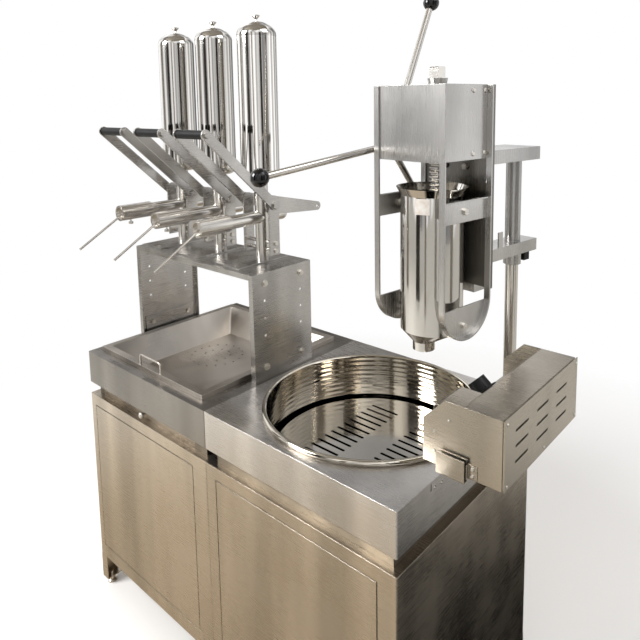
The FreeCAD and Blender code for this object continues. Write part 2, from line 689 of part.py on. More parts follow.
def bridge_bolts():
    grip = 2 * THICK_SHEET
    bolts = []
    for y, z in bridge_bolt_spots():
        for x, way in ((BRIDGE_X0, -X_AXIS), (BRIDGE_X1, X_AXIS)):
            face = vec(x, y, z)
            washer = rod(WASHER_R, face, face + way * WASHER_THICK)
            nut = aimed(hexagon(BOLT_R * NUT_RATIO, NUT_H), face - way * grip, -way)
            body = bolt(BOLT_R, face + way * WASHER_THICK, way, grip + WASHER_THICK)
            bolts.append(fuse([body, washer, nut]))
    return bolts


def bridge_legs():
    """Two upright legs with folded front and rear flanges and a column of spare holes."""
    t = THICK_SHEET
    legs = []
    for x, inward in ((BRIDGE_X0, 1), (BRIDGE_X1 - t, -1)):
        web = box(x, x + t, BRIDGE_Y0, BRIDGE_Y1, WORKTOP_TOP, BRIDGE_TOP)
        far = x + t / 2 + inward * (BRIDGE_FLANGE - t / 2)
        for y in (BRIDGE_Y0, BRIDGE_Y1 - t):
            web = web.fuse(box(*span(x + t / 2, far), y, y + t, WORKTOP_TOP, BRIDGE_TOP - BRIDGE_LIP))
        holes = [rod(BOLT_R, vec(x, y, z - BRIDGE_HOLE_PITCH * k), vec(x + t, y, z - BRIDGE_HOLE_PITCH * k))
                 for y, z in bridge_bolt_spots()[:2] for k in (1, 2, 3)]
        legs.append(web.removeSplitter().cut(Part.makeCompound(holes + bridge_bolt_shanks())))
    return legs


def bridge_angles():
    """Angle brackets that stand each leg on the worktop."""
    t, middle = THICK_SHEET, bridge_middle_y()
    y0, y1 = middle - ANGLE_HALF_LENGTH, middle + ANGLE_HALF_LENGTH
    angles = []
    for x, inward in ((BRIDGE_X0 + t, 1), (BRIDGE_X1 - t, -1)):
        upright = box(*span(x, x + inward * t), y0, y1, WORKTOP_TOP, WORKTOP_TOP + ANGLE_RISE)
        foot = box(*span(x, x + inward * ANGLE_FOOT), y0, y1, WORKTOP_TOP, WORKTOP_TOP + t)
        angles.append(upright.fuse(foot).removeSplitter().cut(Part.makeCompound(bridge_bolt_shanks())))
    return angles


# ---- Lever fillers ----
def filler_base_z():
    return BRIDGE_TOP + BASE_THICK


def base_bolt_spots(x):
    return [(x + BASE_BOLT_X, FILLER_Y - BASE_FRONT + BASE_BOLT_INSET),
            (x + BASE_BOLT_X, FILLER_Y + BASE_BACK - BASE_BOLT_INSET)]


def base_plate(x):
    y0, y1 = FILLER_Y - BASE_FRONT, FILLER_Y + BASE_BACK
    plate = box(x - BASE_LEFT, x + BASE_RIGHT, y0, y1, BRIDGE_TOP, filler_base_z())
    for bx, by in base_bolt_spots(x):
        plate = plate.cut(rod(SCREW_R, vec(bx, by, BRIDGE_TOP), vec(bx, by, filler_base_z())))
    return plate


def filler_tube(x, radius):
    return rod(radius, vec(x, TUBE_FRONT, TUBE_Z), vec(x, TUBE_BACK, TUBE_Z))


def filler_post(x):
    """Post below the filling tube, the tube, the feed pipe above it and the stubs that carry the cheeks."""
    tube = filler_tube(x, TUBE_R)
    column = rod(POST_R, vec(x, FILLER_Y, filler_base_z()), vec(x, FILLER_Y, TUBE_Z)).cut(tube)
    feed = pipe(POST_R, POST_R - POST_WALL, vec(x, FILLER_Y, TUBE_Z), vec(x, FILLER_Y, HOPPER_BASE)).cut(tube)
    crown = turned((0, 0), [(TUBE_R, 0), ((TUBE_R * 0.75, TUBE_R * 0.55), (0, TUBE_R * 0.75))], 0, 0)
    bore = rod(TUBE_R - TUBE_WALL, vec(x, TUBE_FRONT, TUBE_Z), vec(x, TUBE_BACK - TUBE_WALL, TUBE_Z))
    inlet = rod(FEED_R, vec(x, FILLER_Y, TUBE_Z), vec(x, FILLER_Y, TUBE_Z + TUBE_R))
    tube = tube.fuse(aimed(crown, vec(x, TUBE_BACK, TUBE_Z), Y_AXIS)).cut(bore).cut(inlet)
    pieces = [column, tube, feed]
    for z in SPACER_ZS:
        stubs = rod(SPACER_R, vec(x - CHEEK_INNER, FILLER_Y, z), vec(x + CHEEK_INNER, FILLER_Y, z))
        pieces += stubs.cut(column).Solids
    return pieces


def cheek(x, side):
    """Flat side cheek with a rounded top, bored for the lever's pivot."""
    inner, outer = span(x + side * CHEEK_INNER, x + side * (CHEEK_INNER + CHEEK_THICK))
    top = PIVOT_Z + CHEEK_HEAD
    slab = box(inner, outer, PIVOT_Y - CHEEK_W / 2, PIVOT_Y + CHEEK_W / 2, CHEEK_BOTTOM, top)
    head = rod(CHEEK_W / 2, vec(inner, PIVOT_Y, top), vec(outer, PIVOT_Y, top))
    bore = rod(PIVOT_R + RUN_FIT, vec(inner, PIVOT_Y, PIVOT_Z), vec(outer, PIVOT_Y, PIVOT_Z))
    return slab.fuse(head).cut(bore).removeSplitter()


def filler_fasteners(x):
    """Base screws and the cheek bolts that screw into the spacer stubs."""
    seats = [vec(bx, by, filler_base_z()) for bx, by in base_bolt_spots(x)]
    pieces = [bolt(SCREW_R, seat, Z_AXIS, BASE_THICK) for seat in seats]
    reach = CHEEK_INNER + CHEEK_THICK
    for z in SPACER_ZS:
        for way in (-1, 1):
            head = hexagon(SPACER_R * 1.3, SPACER_R * 0.8)
            pieces.append(aimed(head, vec(x + way * reach, FILLER_Y, z), X_AXIS * way))
    return pieces


def top_screw_seat(x):
    return vec(x, TUBE_FRONT + SLEEVE_LENGTH * TOP_SCREW_RATIO, TUBE_Z + SLEEVE_R - TOP_SCREW_SINK)


def thumb_seat(x):
    return vec(x, TUBE_FRONT + SLEEVE_LENGTH * THUMB_RATIO, TUBE_Z - SLEEVE_R - THUMB_DROP)


def filler_sleeve(x):
    """Sleeve on the tube's front half, with the holes of its two screws."""
    back = TUBE_FRONT + SLEEVE_LENGTH
    sleeve = pipe(SLEEVE_R, TUBE_R, vec(x, TUBE_FRONT, TUBE_Z), vec(x, back, TUBE_Z))
    top, under, reach = top_screw_seat(x), thumb_seat(x), Z_AXIS * SLEEVE_R
    for hole in (rod(SCREW_R * SCREW_HEAD_RATIO, top, top + reach), rod(SCREW_R, top - reach, top),
                 rod(SCREW_R, under, under + reach)):
        sleeve = sleeve.cut(hole)
    return sleeve


def sleeve_screws(x):
    """Screw sunk in the top of the sleeve and the thumb screw under it."""
    wall, under = SLEEVE_R - TUBE_R, thumb_seat(x)
    stem = rod(SCREW_R, under, under + Z_AXIS * (THUMB_DROP + wall))
    head = rod(THUMB_R, under - Z_AXIS * THUMB_HEAD, under)
    return [screw(SCREW_R, top_screw_seat(x), Z_AXIS, wall - TOP_SCREW_SINK), stem.fuse(head)]


def spout(x):
    """Front plug recessed in the tube, carrying the slanting filling needle."""
    face = TUBE_FRONT + PLUG_RECESS
    plug = rod(TUBE_R - TUBE_WALL, vec(x, face, TUBE_Z), vec(x, face + PLUG_THICK, TUBE_Z))
    start = vec(x, face + PLUG_THICK / 2, TUBE_Z - SPOUT_R)
    return plug.fuse(rod(SPOUT_R, start, start + vec(0, -SPOUT_REACH, -SPOUT_DROP)))


def hopper(x):
    bottom = HOPPER_BASE + HOPPER_BOTTOM_R
    bend = HOPPER_BOTTOM_R * (1 - math.sqrt(0.5))
    r, w = HOPPER_R, HOPPER_WALL
    flat = r - HOPPER_BOTTOM_R
    outer = turned((0, HOPPER_BASE), [(flat, HOPPER_BASE), ((r - bend, HOPPER_BASE + bend), (r, bottom)),
                                      (r, HOPPER_TOP), (0, HOPPER_TOP)], x, FILLER_Y)
    bend_in = (HOPPER_BOTTOM_R - w) * (1 - math.sqrt(0.5))
    inner = turned((0, HOPPER_BASE + w), [(flat, HOPPER_BASE + w),
                                          ((r - w - bend_in, HOPPER_BASE + w + bend_in), (r - w, bottom)),
                                          (r - w, HOPPER_TOP), (0, HOPPER_TOP)], x, FILLER_Y)
    feed = rod(POST_R - POST_WALL, vec(x, FILLER_Y, HOPPER_BASE), vec(x, FILLER_Y, HOPPER_BASE + w))
    return outer.cut(inner).cut(feed)


def lid_dome(x, radius, base, height):
    """Solid dome: a rounded shoulder running into a flatter crown."""
    crown_r, shoulder_z = radius - LID_SHOULDER, base + height * 0.75
    shoulder = ((radius - LID_SHOULDER * 0.24, base + height * 0.47), (crown_r, shoulder_z))
    crown = ((crown_r * 0.52, base + height * 0.95), (0, base + height))
    return turned((0, base), [(radius, base), shoulder, crown], x, FILLER_Y)


def hopper_lid(x):
    w = HOPPER_WALL
    shell = lid_dome(x, HOPPER_R, HOPPER_TOP, LID_HEIGHT)
    skirt_r = HOPPER_R - w - FREE_GAP
    skirt = rod(skirt_r, vec(x, FILLER_Y, HOPPER_TOP - LID_SKIRT), vec(x, FILLER_Y, HOPPER_TOP))
    hollow = rod(skirt_r - w, vec(x, FILLER_Y, HOPPER_TOP - LID_SKIRT), vec(x, FILLER_Y, HOPPER_TOP))
    crown = HOPPER_TOP + LID_HEIGHT
    neck, top = LID_KNOB_H * 0.3, LID_KNOB_H * 0.85
    knob = turned((0, crown - w), [(LID_KNOB_NECK_R * 1.5, crown - w), (LID_KNOB_NECK_R, crown + neck),
                                   (LID_KNOB_R, crown + top), (LID_KNOB_R, crown + LID_KNOB_H),
                                   (0, crown + LID_KNOB_H)], x, FILLER_Y)
    inside = lid_dome(x, skirt_r - w, HOPPER_TOP, LID_HEIGHT - w)
    return fuse([shell, skirt]).cut(hollow).cut(inside).fuse(knob)


def tapered_bar(x0, x1, start, end, start_r, end_r):
    """Flat bar in a plane of constant X with round ends of two radii and straight tangent sides."""
    run = math.hypot(end[0] - start[0], end[1] - start[1])
    heading = math.atan2(end[1] - start[1], end[0] - start[0])
    lean = math.acos((start_r - end_r) / run)
    corners_yz = []
    for (cy, cz), r, way in ((start, start_r, 1), (end, end_r, 1), (end, end_r, -1), (start, start_r, -1)):
        turn = heading + way * lean
        corners_yz.append(vec(x0, cy + r * math.cos(turn), cz + r * math.sin(turn)))
    depth = vec(x1 - x0, 0, 0)
    parts = [prism(corners_yz, depth)]
    for (cy, cz), r in ((start, start_r), (end, end_r)):
        parts.append(rod(r, vec(x0, cy, cz), vec(x1, cy, cz)))
    return fuse(parts)


def lever(x):
    """Two outside bars, the grip's rod, the pivot stubs with their nuts and the tail arm."""
    pivot, grip = (PIVOT_Y, PIVOT_Z), (GRIP_Y, GRIP_Z)
    bar_in = CHEEK_INNER + CHEEK_THICK + FREE_GAP
    bar_out = bar_in + LEVER_THICK
    tail_out = CHEEK_INNER - FREE_GAP
    head = PIVOT_R * 0.8
    parts = []
    for side in (-1, 1):
        x0, x1 = span(x + side * bar_in, x + side * bar_out)
        parts.append(tapered_bar(x0, x1, pivot, grip, LEVER_W / 2, LEVER_W / 2))
        inner = tail_out - (LEVER_THICK if side > 0 else 0)
        parts.append(rod(PIVOT_R, vec(x + side * inner, *pivot), vec(x + side * bar_out, *pivot)))
        parts.append(aimed(hexagon(PIVOT_R * 1.45, head), vec(x + side * bar_out, *pivot), X_AXIS * side))
        parts.append(aimed(hexagon(GRIP_ROD_R * 1.8, head), vec(x + side * bar_out, *grip), X_AXIS * side))
    collar_face = vec(x - tail_out, *pivot)
    parts.append(aimed(hexagon(PIVOT_R * 1.45, head), collar_face + X_AXIS * head, -X_AXIS))
    parts.append(rod(GRIP_ROD_R, vec(x - bar_out, *grip), vec(x + bar_out, *grip)))
    tail = tapered_bar(x + tail_out - LEVER_THICK, x + tail_out, pivot, (TAIL_TIP_Y, TAIL_TIP_Z),
                       TAIL_ROOT_R, TAIL_TIP_R)
    tip_hole = rod(TAIL_HOLE_R, vec(x, TAIL_TIP_Y, TAIL_TIP_Z), vec(x + tail_out, TAIL_TIP_Y, TAIL_TIP_Z))
    parts.append(tail.cut(tip_hole))
    return fuse(parts)


def lever_grip(x):
    reach = CHEEK_INNER + CHEEK_THICK + FREE_GAP
    start, end = vec(x - reach, GRIP_Y, GRIP_Z), vec(x + reach, GRIP_Y, GRIP_Z)
    sleeve = rod(GRIP_R, start, end)
    sleeve = sleeve.makeFillet(GRIP_R / 6, [e for e in sleeve.Edges if e.Curve.TypeId == "Part::GeomCircle"])
    return sleeve.cut(rod(GRIP_ROD_R, start, end))


# ---- Fryer ----
def fryer_pan():
    """Flat floor disc, and the wall welded to it with its rolled rim and seat."""
    r, outer, floor, rim = PAN_R, PAN_R + PAN_WALL, PAN_FLOOR, WORKTOP_TOP
    bead_z = rim + PAN_BEAD_R
    disc = rod(outer, vec(PAN_X, PAN_Y, floor - PAN_WALL), vec(PAN_X, PAN_Y, floor))
    wall = pipe(outer, r, vec(PAN_X, PAN_Y, floor), vec(PAN_X, PAN_Y, bead_z))
    bead = Part.makeTorus(outer + PAN_BEAD_R * BEAD_OFFSET, PAN_BEAD_R, vec(PAN_X, PAN_Y, bead_z))
    seat = pipe(outer + PAN_BEAD_R, r, vec(PAN_X, PAN_Y, rim), vec(PAN_X, PAN_Y, rim + PAN_WALL))
    inside = rod(r, vec(PAN_X, PAN_Y, rim), vec(PAN_X, PAN_Y, bead_z + PAN_BEAD_R))
    return [disc, wall.fuse(bead.cut(inside)).fuse(seat).removeSplitter()]


def slotted_grid():
    """False bottom over the element: a disc with two columns of slots and a notch for the risers."""
    centre = vec(PAN_X, PAN_Y, GRID_Z)
    disc = rod(GRID_R, centre, centre + Z_AXIS * SHEET)
    length = GRID_SLOT_FAR - GRID_SLOT_NEAR
    middle = (GRID_SLOT_FAR + GRID_SLOT_NEAR) / 2
    cutters = []
    for row in range(GRID_ROWS):
        y = (row - (GRID_ROWS - 1) / 2) * GRID_PITCH
        for side in (-1, 1):
            seat = centre + vec(side * middle, y, 0)
            cutters.append(slot(length, GRID_SLOT_W, SHEET, seat, X_AXIS, Z_AXIS))
    room = ELEMENT_R + ELEMENT_HALF_GAP + NOTCH_SIDE_ROOM
    notch = box(PAN_X + ELEMENT_REACH - ELEMENT_R - NOTCH_INNER_ROOM, PAN_X + GRID_R + NOTCH_OVERRUN,
                PAN_Y - room, PAN_Y + room, GRID_Z, GRID_Z + SHEET)
    return disc.cut(Part.makeCompound(cutters)).cut(notch)


def heating_element():
    """One tube: out of the head, over the rim, down the wall, round a loop under the grid and back."""
    exit_z, low = HEAD_Z0 + ELEMENT_EXIT_RISE, GRID_Z - FREE_GAP - ELEMENT_R
    gap, wide = ELEMENT_HALF_GAP, ELEMENT_SPREAD
    riser_x = PAN_X + ELEMENT_REACH
    half_path = [(HEAD_X0, gap, exit_z), (riser_x, gap, exit_z), (riser_x, gap, low),
                 (PAN_X + ELEMENT_LOOP, wide, low), (PAN_X - ELEMENT_LOOP, wide, low)]
    out = [vec(x, PAN_Y + y, z) for x, y, z in half_path]
    back = [vec(x, PAN_Y - y, z) for x, y, z in reversed(half_path)]
    return wire_form(out + back, ELEMENT_BEND, ELEMENT_R)


# ---- Control head ----
def head_section(inset):
    """Cross-section of the head with its 45 degree control face, shrunk by inset."""
    slope_inset = inset * math.tan(math.radians(22.5))
    x0, x1, z0, z1 = HEAD_X0 + inset, HEAD_X1 - COVER_GAP, HEAD_Z0 + inset, HEAD_Z1 - inset
    low, near = HEAD_Z1 - HEAD_SLOPE - slope_inset, HEAD_X0 + HEAD_SLOPE + slope_inset
    return [vec(x0, 0, z0), vec(x1, 0, z0), vec(x1, 0, z1), vec(near, 0, z1), vec(x0, 0, low)]


def dial_seat():
    """Centre of the dial on the control face."""
    drop = DIAL_ALONG * math.sqrt(0.5)
    return vec(HEAD_X0 + HEAD_SLOPE - drop, DIAL_Y, HEAD_Z1 - drop)


def control_normal():
    return vec(-1, 0, 1).normalize()


def head_case():
    """Box with a sloping control face, deeper end plates and the hook that stands it on the worktop."""
    y0, y1 = HEAD_Y0 + SHEET, HEAD_Y1 - SHEET
    shell = prism(head_section(0), vec(0, y1 - y0, 0))
    shell.translate(vec(0, y0, 0))
    hollow = prism(head_section(SHEET), vec(0, y1 - y0, 0))
    hollow.translate(vec(0, y0, 0))
    shell = shell.cut(hollow)
    parts = [shell]
    for y in (HEAD_Y0, HEAD_Y1 - SHEET):
        far = HEAD_X1 - COVER_GAP
        end = [vec(HEAD_X0, y, HEAD_Z0), vec(far, y, HEAD_Z0), vec(far, y, HEAD_Z1),
               vec(HEAD_X0 + END_CHAMFER, y, HEAD_Z1), vec(HEAD_X0, y, HEAD_Z1 - END_CHAMFER)]
        parts.append(prism(end, vec(0, SHEET, 0)))
    hook_y0, hook_y1 = HEAD_Y0 + HOOK_INSET, HEAD_Y1 - HOOK_INSET
    parts.append(box(HEAD_X0, HEAD_X0 + THICK_SHEET, hook_y0, hook_y1, WORKTOP_TOP + FREE_GAP, HEAD_Z0))
    parts.append(box(MODULE + FREE_GAP, MODULE + FREE_GAP + THICK_SHEET, hook_y0, hook_y1,
                     WORKTOP_TOP - HOOK_DROP, HEAD_Z0))
    shaft_hole = rod(DIAL_SHAFT_R + RUN_FIT, dial_seat() - control_normal() * DIAL_SHAFT_DEPTH,
                     dial_seat() + control_normal())
    return fuse(parts).cut(shaft_hole).cut(drill(head_screw_spots()))


def vent_cover():
    """Slotted plate with a folded edge that stands inside the case."""
    plate = box(HEAD_X1, HEAD_X1 + THIN_SHEET, HEAD_Y0, HEAD_Y1, HEAD_Z0, HEAD_Z1 + VENT_OVERHANG)
    y0, y1 = HEAD_Y0 + SHEET + FREE_GAP, HEAD_Y1 - SHEET - FREE_GAP
    z0, z1 = HEAD_Z0 + SHEET + FREE_GAP, HEAD_Z1 - SHEET - FREE_GAP
    t = THIN_SHEET
    fold = box(HEAD_X1 - COVER_FOLD, HEAD_X1, y0, y1, z0, z1)
    fold = fold.cut(box(HEAD_X1 - COVER_FOLD, HEAD_X1, y0 + t, y1 - t, z0 + t, z1 - t))
    cutters = [slot(VENT_SLOT_L, VENT_SLOT_H, THIN_SHEET, vec(HEAD_X1, y, z), Y_AXIS, X_AXIS)
               for y in VENT_COLUMN_YS for z in VENT_ROW_ZS]
    return plate.fuse(fold).cut(Part.makeCompound(cutters)).cut(drill(head_screw_spots()))


def lead_cover():
    """Small folded cover over the leads, on the front end of the control face."""
    z1 = HEAD_Z1 - LEAD_COVER_DROP
    x1 = HEAD_X0 + HEAD_SLOPE - LEAD_COVER_DROP
    foot = HEAD_Z1 - (HEAD_X0 + HEAD_SLOPE - LEAD_COVER_X)
    y0 = HEAD_Y0 + SHEET
    depth = vec(0, LEAD_COVER_RUN, 0)
    wedge = prism([vec(LEAD_COVER_X, y0, foot), vec(x1, y0, z1), vec(LEAD_COVER_X, y0, z1)], depth)
    top_edge = [e for e in wedge.Edges if abs(e.CenterOfMass.x - LEAD_COVER_X) < 1e-6
                and abs(e.CenterOfMass.z - z1) < 1e-6]
    wedge = wedge.makeFillet(LEAD_COVER_FOLD, top_edge)
    t = THIN_SHEET
    near = LEAD_COVER_X + t
    core = prism([vec(near, y0, foot), vec(x1 + t, y0, z1 - t), vec(near, y0, z1 - t)], depth)
    core_edge = [e for e in core.Edges if abs(e.CenterOfMass.x - near) < 1e-6
                 and abs(e.CenterOfMass.z - z1 + t) < 1e-6]
    return wedge.cut(core.makeFillet(LEAD_COVER_FOLD - t, core_edge))


def thermostat_dial():
    """Knob with a skirt, finger flutes and its shaft."""
    top = DIAL_SKIRT_H + DIAL_H
    skirt = [(DIAL_SKIRT_R, 0), (DIAL_SKIRT_R, DIAL_SKIRT_H * 0.5), (DIAL_SKIRT_R * 0.93, DIAL_SKIRT_H)]
    body = turned((0, 0), skirt + [(DIAL_R, DIAL_SKIRT_H), (DIAL_R * 0.9, top), (0, top)], 0, 0)
    for k in range(DIAL_FLUTES):
        turn = math.tau * k / DIAL_FLUTES
        flute = vec(math.cos(turn), math.sin(turn), 0) * FLUTE_REACH + vec(0, 0, DIAL_SKIRT_H)
        body = body.cut(rod(FLUTE_R, flute, flute + Z_AXIS * DIAL_H))
    body = body.fuse(rod(DIAL_SHAFT_R, vec(0, 0, -DIAL_SHAFT_DEPTH), vec(0, 0, 0)))
    return aimed(body, dial_seat() + control_normal() * FREE_GAP, control_normal())


def head_clip():
    """Folded channel, open at the top, and the small screwed angle beside it on the head's front."""
    t, y1 = THIN_SHEET, HEAD_Y0
    y0 = y1 - CLIP_REACH
    face = box(CLIP_X0, CLIP_X1, y0, y0 + t, CLIP_Z0, CLIP_Z1)
    back = box(CLIP_X0, CLIP_X1, y1 - t, y1, CLIP_Z0, CLIP_Z1)
    fold = box(CLIP_X0, CLIP_X1, y0, y1, CLIP_Z0, CLIP_Z0 + t)
    flat = box(LATCH_X0, LATCH_X1, y1 - t, y1, LATCH_Z0, LATCH_Z1)
    edge = box(LATCH_X0, LATCH_X0 + t, y1 - LATCH_REACH, y1, LATCH_Z0, LATCH_Z1)
    return [fuse([face, back, fold]), fuse([flat, edge]).cut(drill(head_screw_spots()))]


def head_screw_spots():
    """Rivets of the front end plate, screws of the vent cover and screws of the latch angle."""
    spots = []
    for dx, dz in RIVET_OFFSETS:
        spots.append((screw, RIVET_R, vec(HEAD_X0 + dx, HEAD_Y0, HEAD_Z1 - dz), -Y_AXIS, SHEET))
    for z in (HEAD_Z0 + COVER_SCREW_INSET, HEAD_Z1 - COVER_SCREW_INSET):
        for y in (HEAD_Y0 + COVER_SCREW_INSET, HEAD_Y1 - COVER_SCREW_INSET):
            spots.append((screw, RIVET_R, vec(HEAD_X1 + THIN_SHEET, y, z), X_AXIS, THIN_SHEET))
    middle = vec(HEAD_X1 + THIN_SHEET, (HEAD_Y0 + HEAD_Y1) / 2, HEAD_Z0 + COVER_SCREW_INSET)
    spots.append((screw, RIVET_R, middle, X_AXIS, THIN_SHEET))
    for z in (LATCH_Z0 + LATCH_SCREW_INSET, LATCH_Z1 - LATCH_SCREW_INSET):
        seat = vec((LATCH_X0 + LATCH_X1) / 2, HEAD_Y0 - THIN_SHEET, z)
        spots.append((screw, SCREW_R, seat, -Y_AXIS, THIN_SHEET))
    return spots


# ---- Dough press, drawn about its post and then turned and moved into place ----
def placed(shape):
    shape = shape.copy()
    shape.rotate(vec(0, 0, 0), Z_AXIS, PRESS_TURN)
    return moved(shape, vec(POST_X, POST_Y, 0))


MEMBER_FRONT = ARM_END_Y - MEMBER_DEPTH
BACK_FRONT = MEMBER_FRONT - BACK_THICK
FRAME_FRONT = BACK_FRONT - 2 * FRAME_R
FRAME_MIDDLE = BACK_FRONT - FRAME_R
FRAME_INNER_HALF = FRAME_HALF - FRAME_BAR_W
CYL_Y = BACK_FRONT - CYL_SETBACK - CYL_R
NOZZLE_Y = CYL_Y - NOZZLE_SHIFT
PITCH_R = RACK_PITCH * PINION_TEETH / math.tau
RACK_PITCH_Y = RACK_BACK_Y - RACK_DEPTH
SHAFT_Y = RACK_PITCH_Y - PITCH_R
POST_TOP = UPPER_ARM_Z1 - ARM_WALL - FREE_GAP


def flange_bolt_spots():
    reach = PRESS_FLANGE / 2 - FLANGE_BOLT_INSET
    return [(sx * reach, sy * reach) for sx in (-1, 1) for sy in (-1, 1)]


def press_post():
    half, top = PRESS_FLANGE / 2, WORKTOP_TOP + PRESS_FLANGE_THICK
    flange = rounded_box(-half, half, -half, half, WORKTOP_TOP, top, FOLD_RADIUS)
    post = flange.fuse(rod(PRESS_POST_R, vec(0, 0, top), vec(0, 0, POST_TOP)))
    for x, y in flange_bolt_spots():
        post = post.cut(rod(BOLT_R, vec(x, y, WORKTOP_TOP), vec(x, y, top)))
    return placed(post)


def flange_bolts():
    seat_z = WORKTOP_TOP + PRESS_FLANGE_THICK
    bolts = [bolt(BOLT_R, vec(x, y, seat_z), Z_AXIS, PRESS_FLANGE_THICK) for x, y in flange_bolt_spots()]
    return [placed(piece) for piece in bolts]


def arm(half, back, z0, z1):
    """Rectangular box-section arm from behind the post to the upright member."""
    outer = box(-half, half, ARM_END_Y, back, z0, z1)
    w = ARM_WALL
    return outer.cut(box(-half + w, half - w, ARM_END_Y, back - w, z0 + w, z1 - w))


def swing_hanger():
    """Sleeve, collar, two arms and the upright box member, welded together."""
    w = ARM_WALL
    upper = arm(UPPER_ARM_HALF, UPPER_ARM_BACK, UPPER_ARM_Z0, UPPER_ARM_Z1)
    lower = arm(LOWER_ARM_HALF, LOWER_ARM_BACK, LOWER_ARM_Z0, LOWER_ARM_Z1)
    sleeve = rod(SLEEVE_OUTER_R, vec(0, 0, LOWER_ARM_Z0), vec(0, 0, UPPER_ARM_Z0 + w))
    collar = rod(COLLAR_R, vec(0, 0, LOWER_ARM_Z0 - COLLAR_DROP), vec(0, 0, LOWER_ARM_Z0))
    member = box(-UPPER_ARM_HALF, UPPER_ARM_HALF, MEMBER_FRONT, ARM_END_Y, MEMBER_Z0, UPPER_ARM_Z1)
    inner = UPPER_ARM_HALF - w
    inside = box(-inner, inner, MEMBER_FRONT + w, ARM_END_Y - w, MEMBER_Z0, UPPER_ARM_Z1 - w)
    tab = box(LOWER_ARM_HALF - w, LOWER_ARM_HALF, TAB_Y0, TAB_Y1, LOWER_ARM_Z1, LOWER_ARM_Z1 + TAB_RISE)
    bore_bottom, bore_top = vec(0, 0, LOWER_ARM_Z0 - COLLAR_DROP), vec(0, 0, UPPER_ARM_Z1 - w)
    bore = rod(PRESS_POST_R + RUN_FIT, bore_bottom, bore_top)
    lock_z = LOWER_ARM_Z0 - LOCK_DROP
    lock_bore = rod(LOCK_ROD_R + RUN_FIT, vec(0, PRESS_POST_R, lock_z), vec(0, COLLAR_R, lock_z))
    return placed(fuse([upper, lower, sleeve, collar, member.cut(inside), tab]).cut(bore).cut(lock_bore))


def swing_lock():
    """Square grip block on the threaded stem that locks the collar."""
    z, half = LOWER_ARM_Z0 - LOCK_DROP, LOCK_BLOCK_HALF
    stem = rod(LOCK_ROD_R, vec(0, PRESS_POST_R + FREE_GAP, z), vec(0, LOCK_BLOCK_START, z))
    block = box(-half, half, LOCK_BLOCK_START, LOCK_BLOCK_END, z - half, z + half)
    return placed(block.makeFillet(LOCK_ROUND, block.Edges).fuse(stem))


def cylinder_boss_spots():
    return [(CYL_Y, UPPER_BOLT_Z), (CYL_Y, WEB_BOLT_Z)]


def press_bolt_spots():
    """Bolts of the side plates into the bosses, screws of the cover and bolts of the back plate."""
    spots = []
    for side in (-1, 1):
        seat_x, way = side * (FRAME_INNER_HALF + WEB_THICK), X_AXIS * side
        for y, z in cylinder_boss_spots():
            spots.append((bolt, BOLT_R, vec(seat_x, y, z), way, WEB_THICK))
        for z in (COVER_Z0 + COVER_SCREW_RISE, COVER_Z1 - COVER_SCREW_RISE):
            for setback in COVER_SCREW_SETBACKS:
                seat = vec(side * FRAME_INNER_HALF, BACK_FRONT - setback, z)
                spots.append((screw, COVER_SCREW_R, seat, way, THIN_SHEET))
        seat = vec(side * BACK_BOLT_HALF, BACK_FRONT, UPPER_ARM_Z0)
        spots.append((bolt, BOLT_R, seat, -Y_AXIS, BACK_THICK))
    return spots


def back_plate():
    plate = box(-FRAME_HALF, FRAME_HALF, BACK_FRONT, MEMBER_FRONT, BACK_Z0, FRAME_TOP)
    return placed(plate.cut(drill(press_bolt_spots())))


def u_profile(radius, top):
    """Upright U outline in the YZ plane: a half circle below two straight sides."""
    y, z = FRAME_MIDDLE, FRAME_BEND_Z
    arc = Part.Arc(vec(0, y - radius, z), vec(0, y, z - radius), vec(0, y + radius, z)).toShape()
    right = Part.LineSegment(vec(0, y + radius, z), vec(0, y + radius, top)).toShape()
    across = Part.LineSegment(vec(0, y + radius, top), vec(0, y - radius, top)).toShape()
    left = Part.LineSegment(vec(0, y - radius, top), vec(0, y - radius, z)).toShape()
    return Part.Face(Part.Wire([arc, right, across, left]))


def side_frame(side):
    """Flat bar bent to a U, with a web plate filling its bottom."""
    inner_r = FRAME_R - FRAME_BAR_THICK
    x0 = min(side * FRAME_INNER_HALF, side * FRAME_HALF)
    bar = u_profile(FRAME_R, FRAME_TOP).extrude(vec(FRAME_BAR_W, 0, 0))
    bar = bar.cut(u_profile(inner_r, FRAME_TOP).extrude(vec(FRAME_BAR_W, 0, 0)))
    bar.translate(vec(x0, 0, 0))
    web = u_profile(inner_r, FRAME_TOP).extrude(vec(WEB_THICK, 0, 0))
    web = web.cut(box(0, WEB_THICK, FRAME_FRONT, BACK_FRONT, WEB_TOP, FRAME_TOP))
    web_x = side * (FRAME_INNER_HALF + WEB_THICK) if side < 0 else FRAME_INNER_HALF
    web.translate(vec(web_x, 0, 0))
    return placed(bar.fuse(web).cut(drill(press_bolt_spots())))


def upper_side_plate(side):
    """Plate across the U near the cylinder's rim, with a lip folded inwards along its top."""
    t = WEB_THICK
    y0, y1 = FRAME_FRONT + FRAME_BAR_THICK, BACK_FRONT - FRAME_BAR_THICK
    x0, x1 = span(side * FRAME_INNER_HALF, side * (FRAME_INNER_HALF + t))
    plate = box(x0, x1, y0, y1, UPPER_PLATE_Z0, UPPER_PLATE_Z1)
    lip_x0, lip_x1 = span(side * (FRAME_INNER_HALF + t), side * (FRAME_INNER_HALF + t + UPPER_PLATE_LIP - t))
    lip = box(lip_x0, lip_x1, y0, y1, UPPER_PLATE_Z1 - t, UPPER_PLATE_Z1)
    return placed(plate.fuse(lip).removeSplitter().cut(drill(press_bolt_spots())))


def slanted_cone(wide, wide_r, narrow, narrow_r):
    rings = [Part.Wire(Part.makeCircle(wide_r, wide)), Part.Wire(Part.makeCircle(narrow_r, narrow))]
    return Part.makeLoft(rings, True, True)


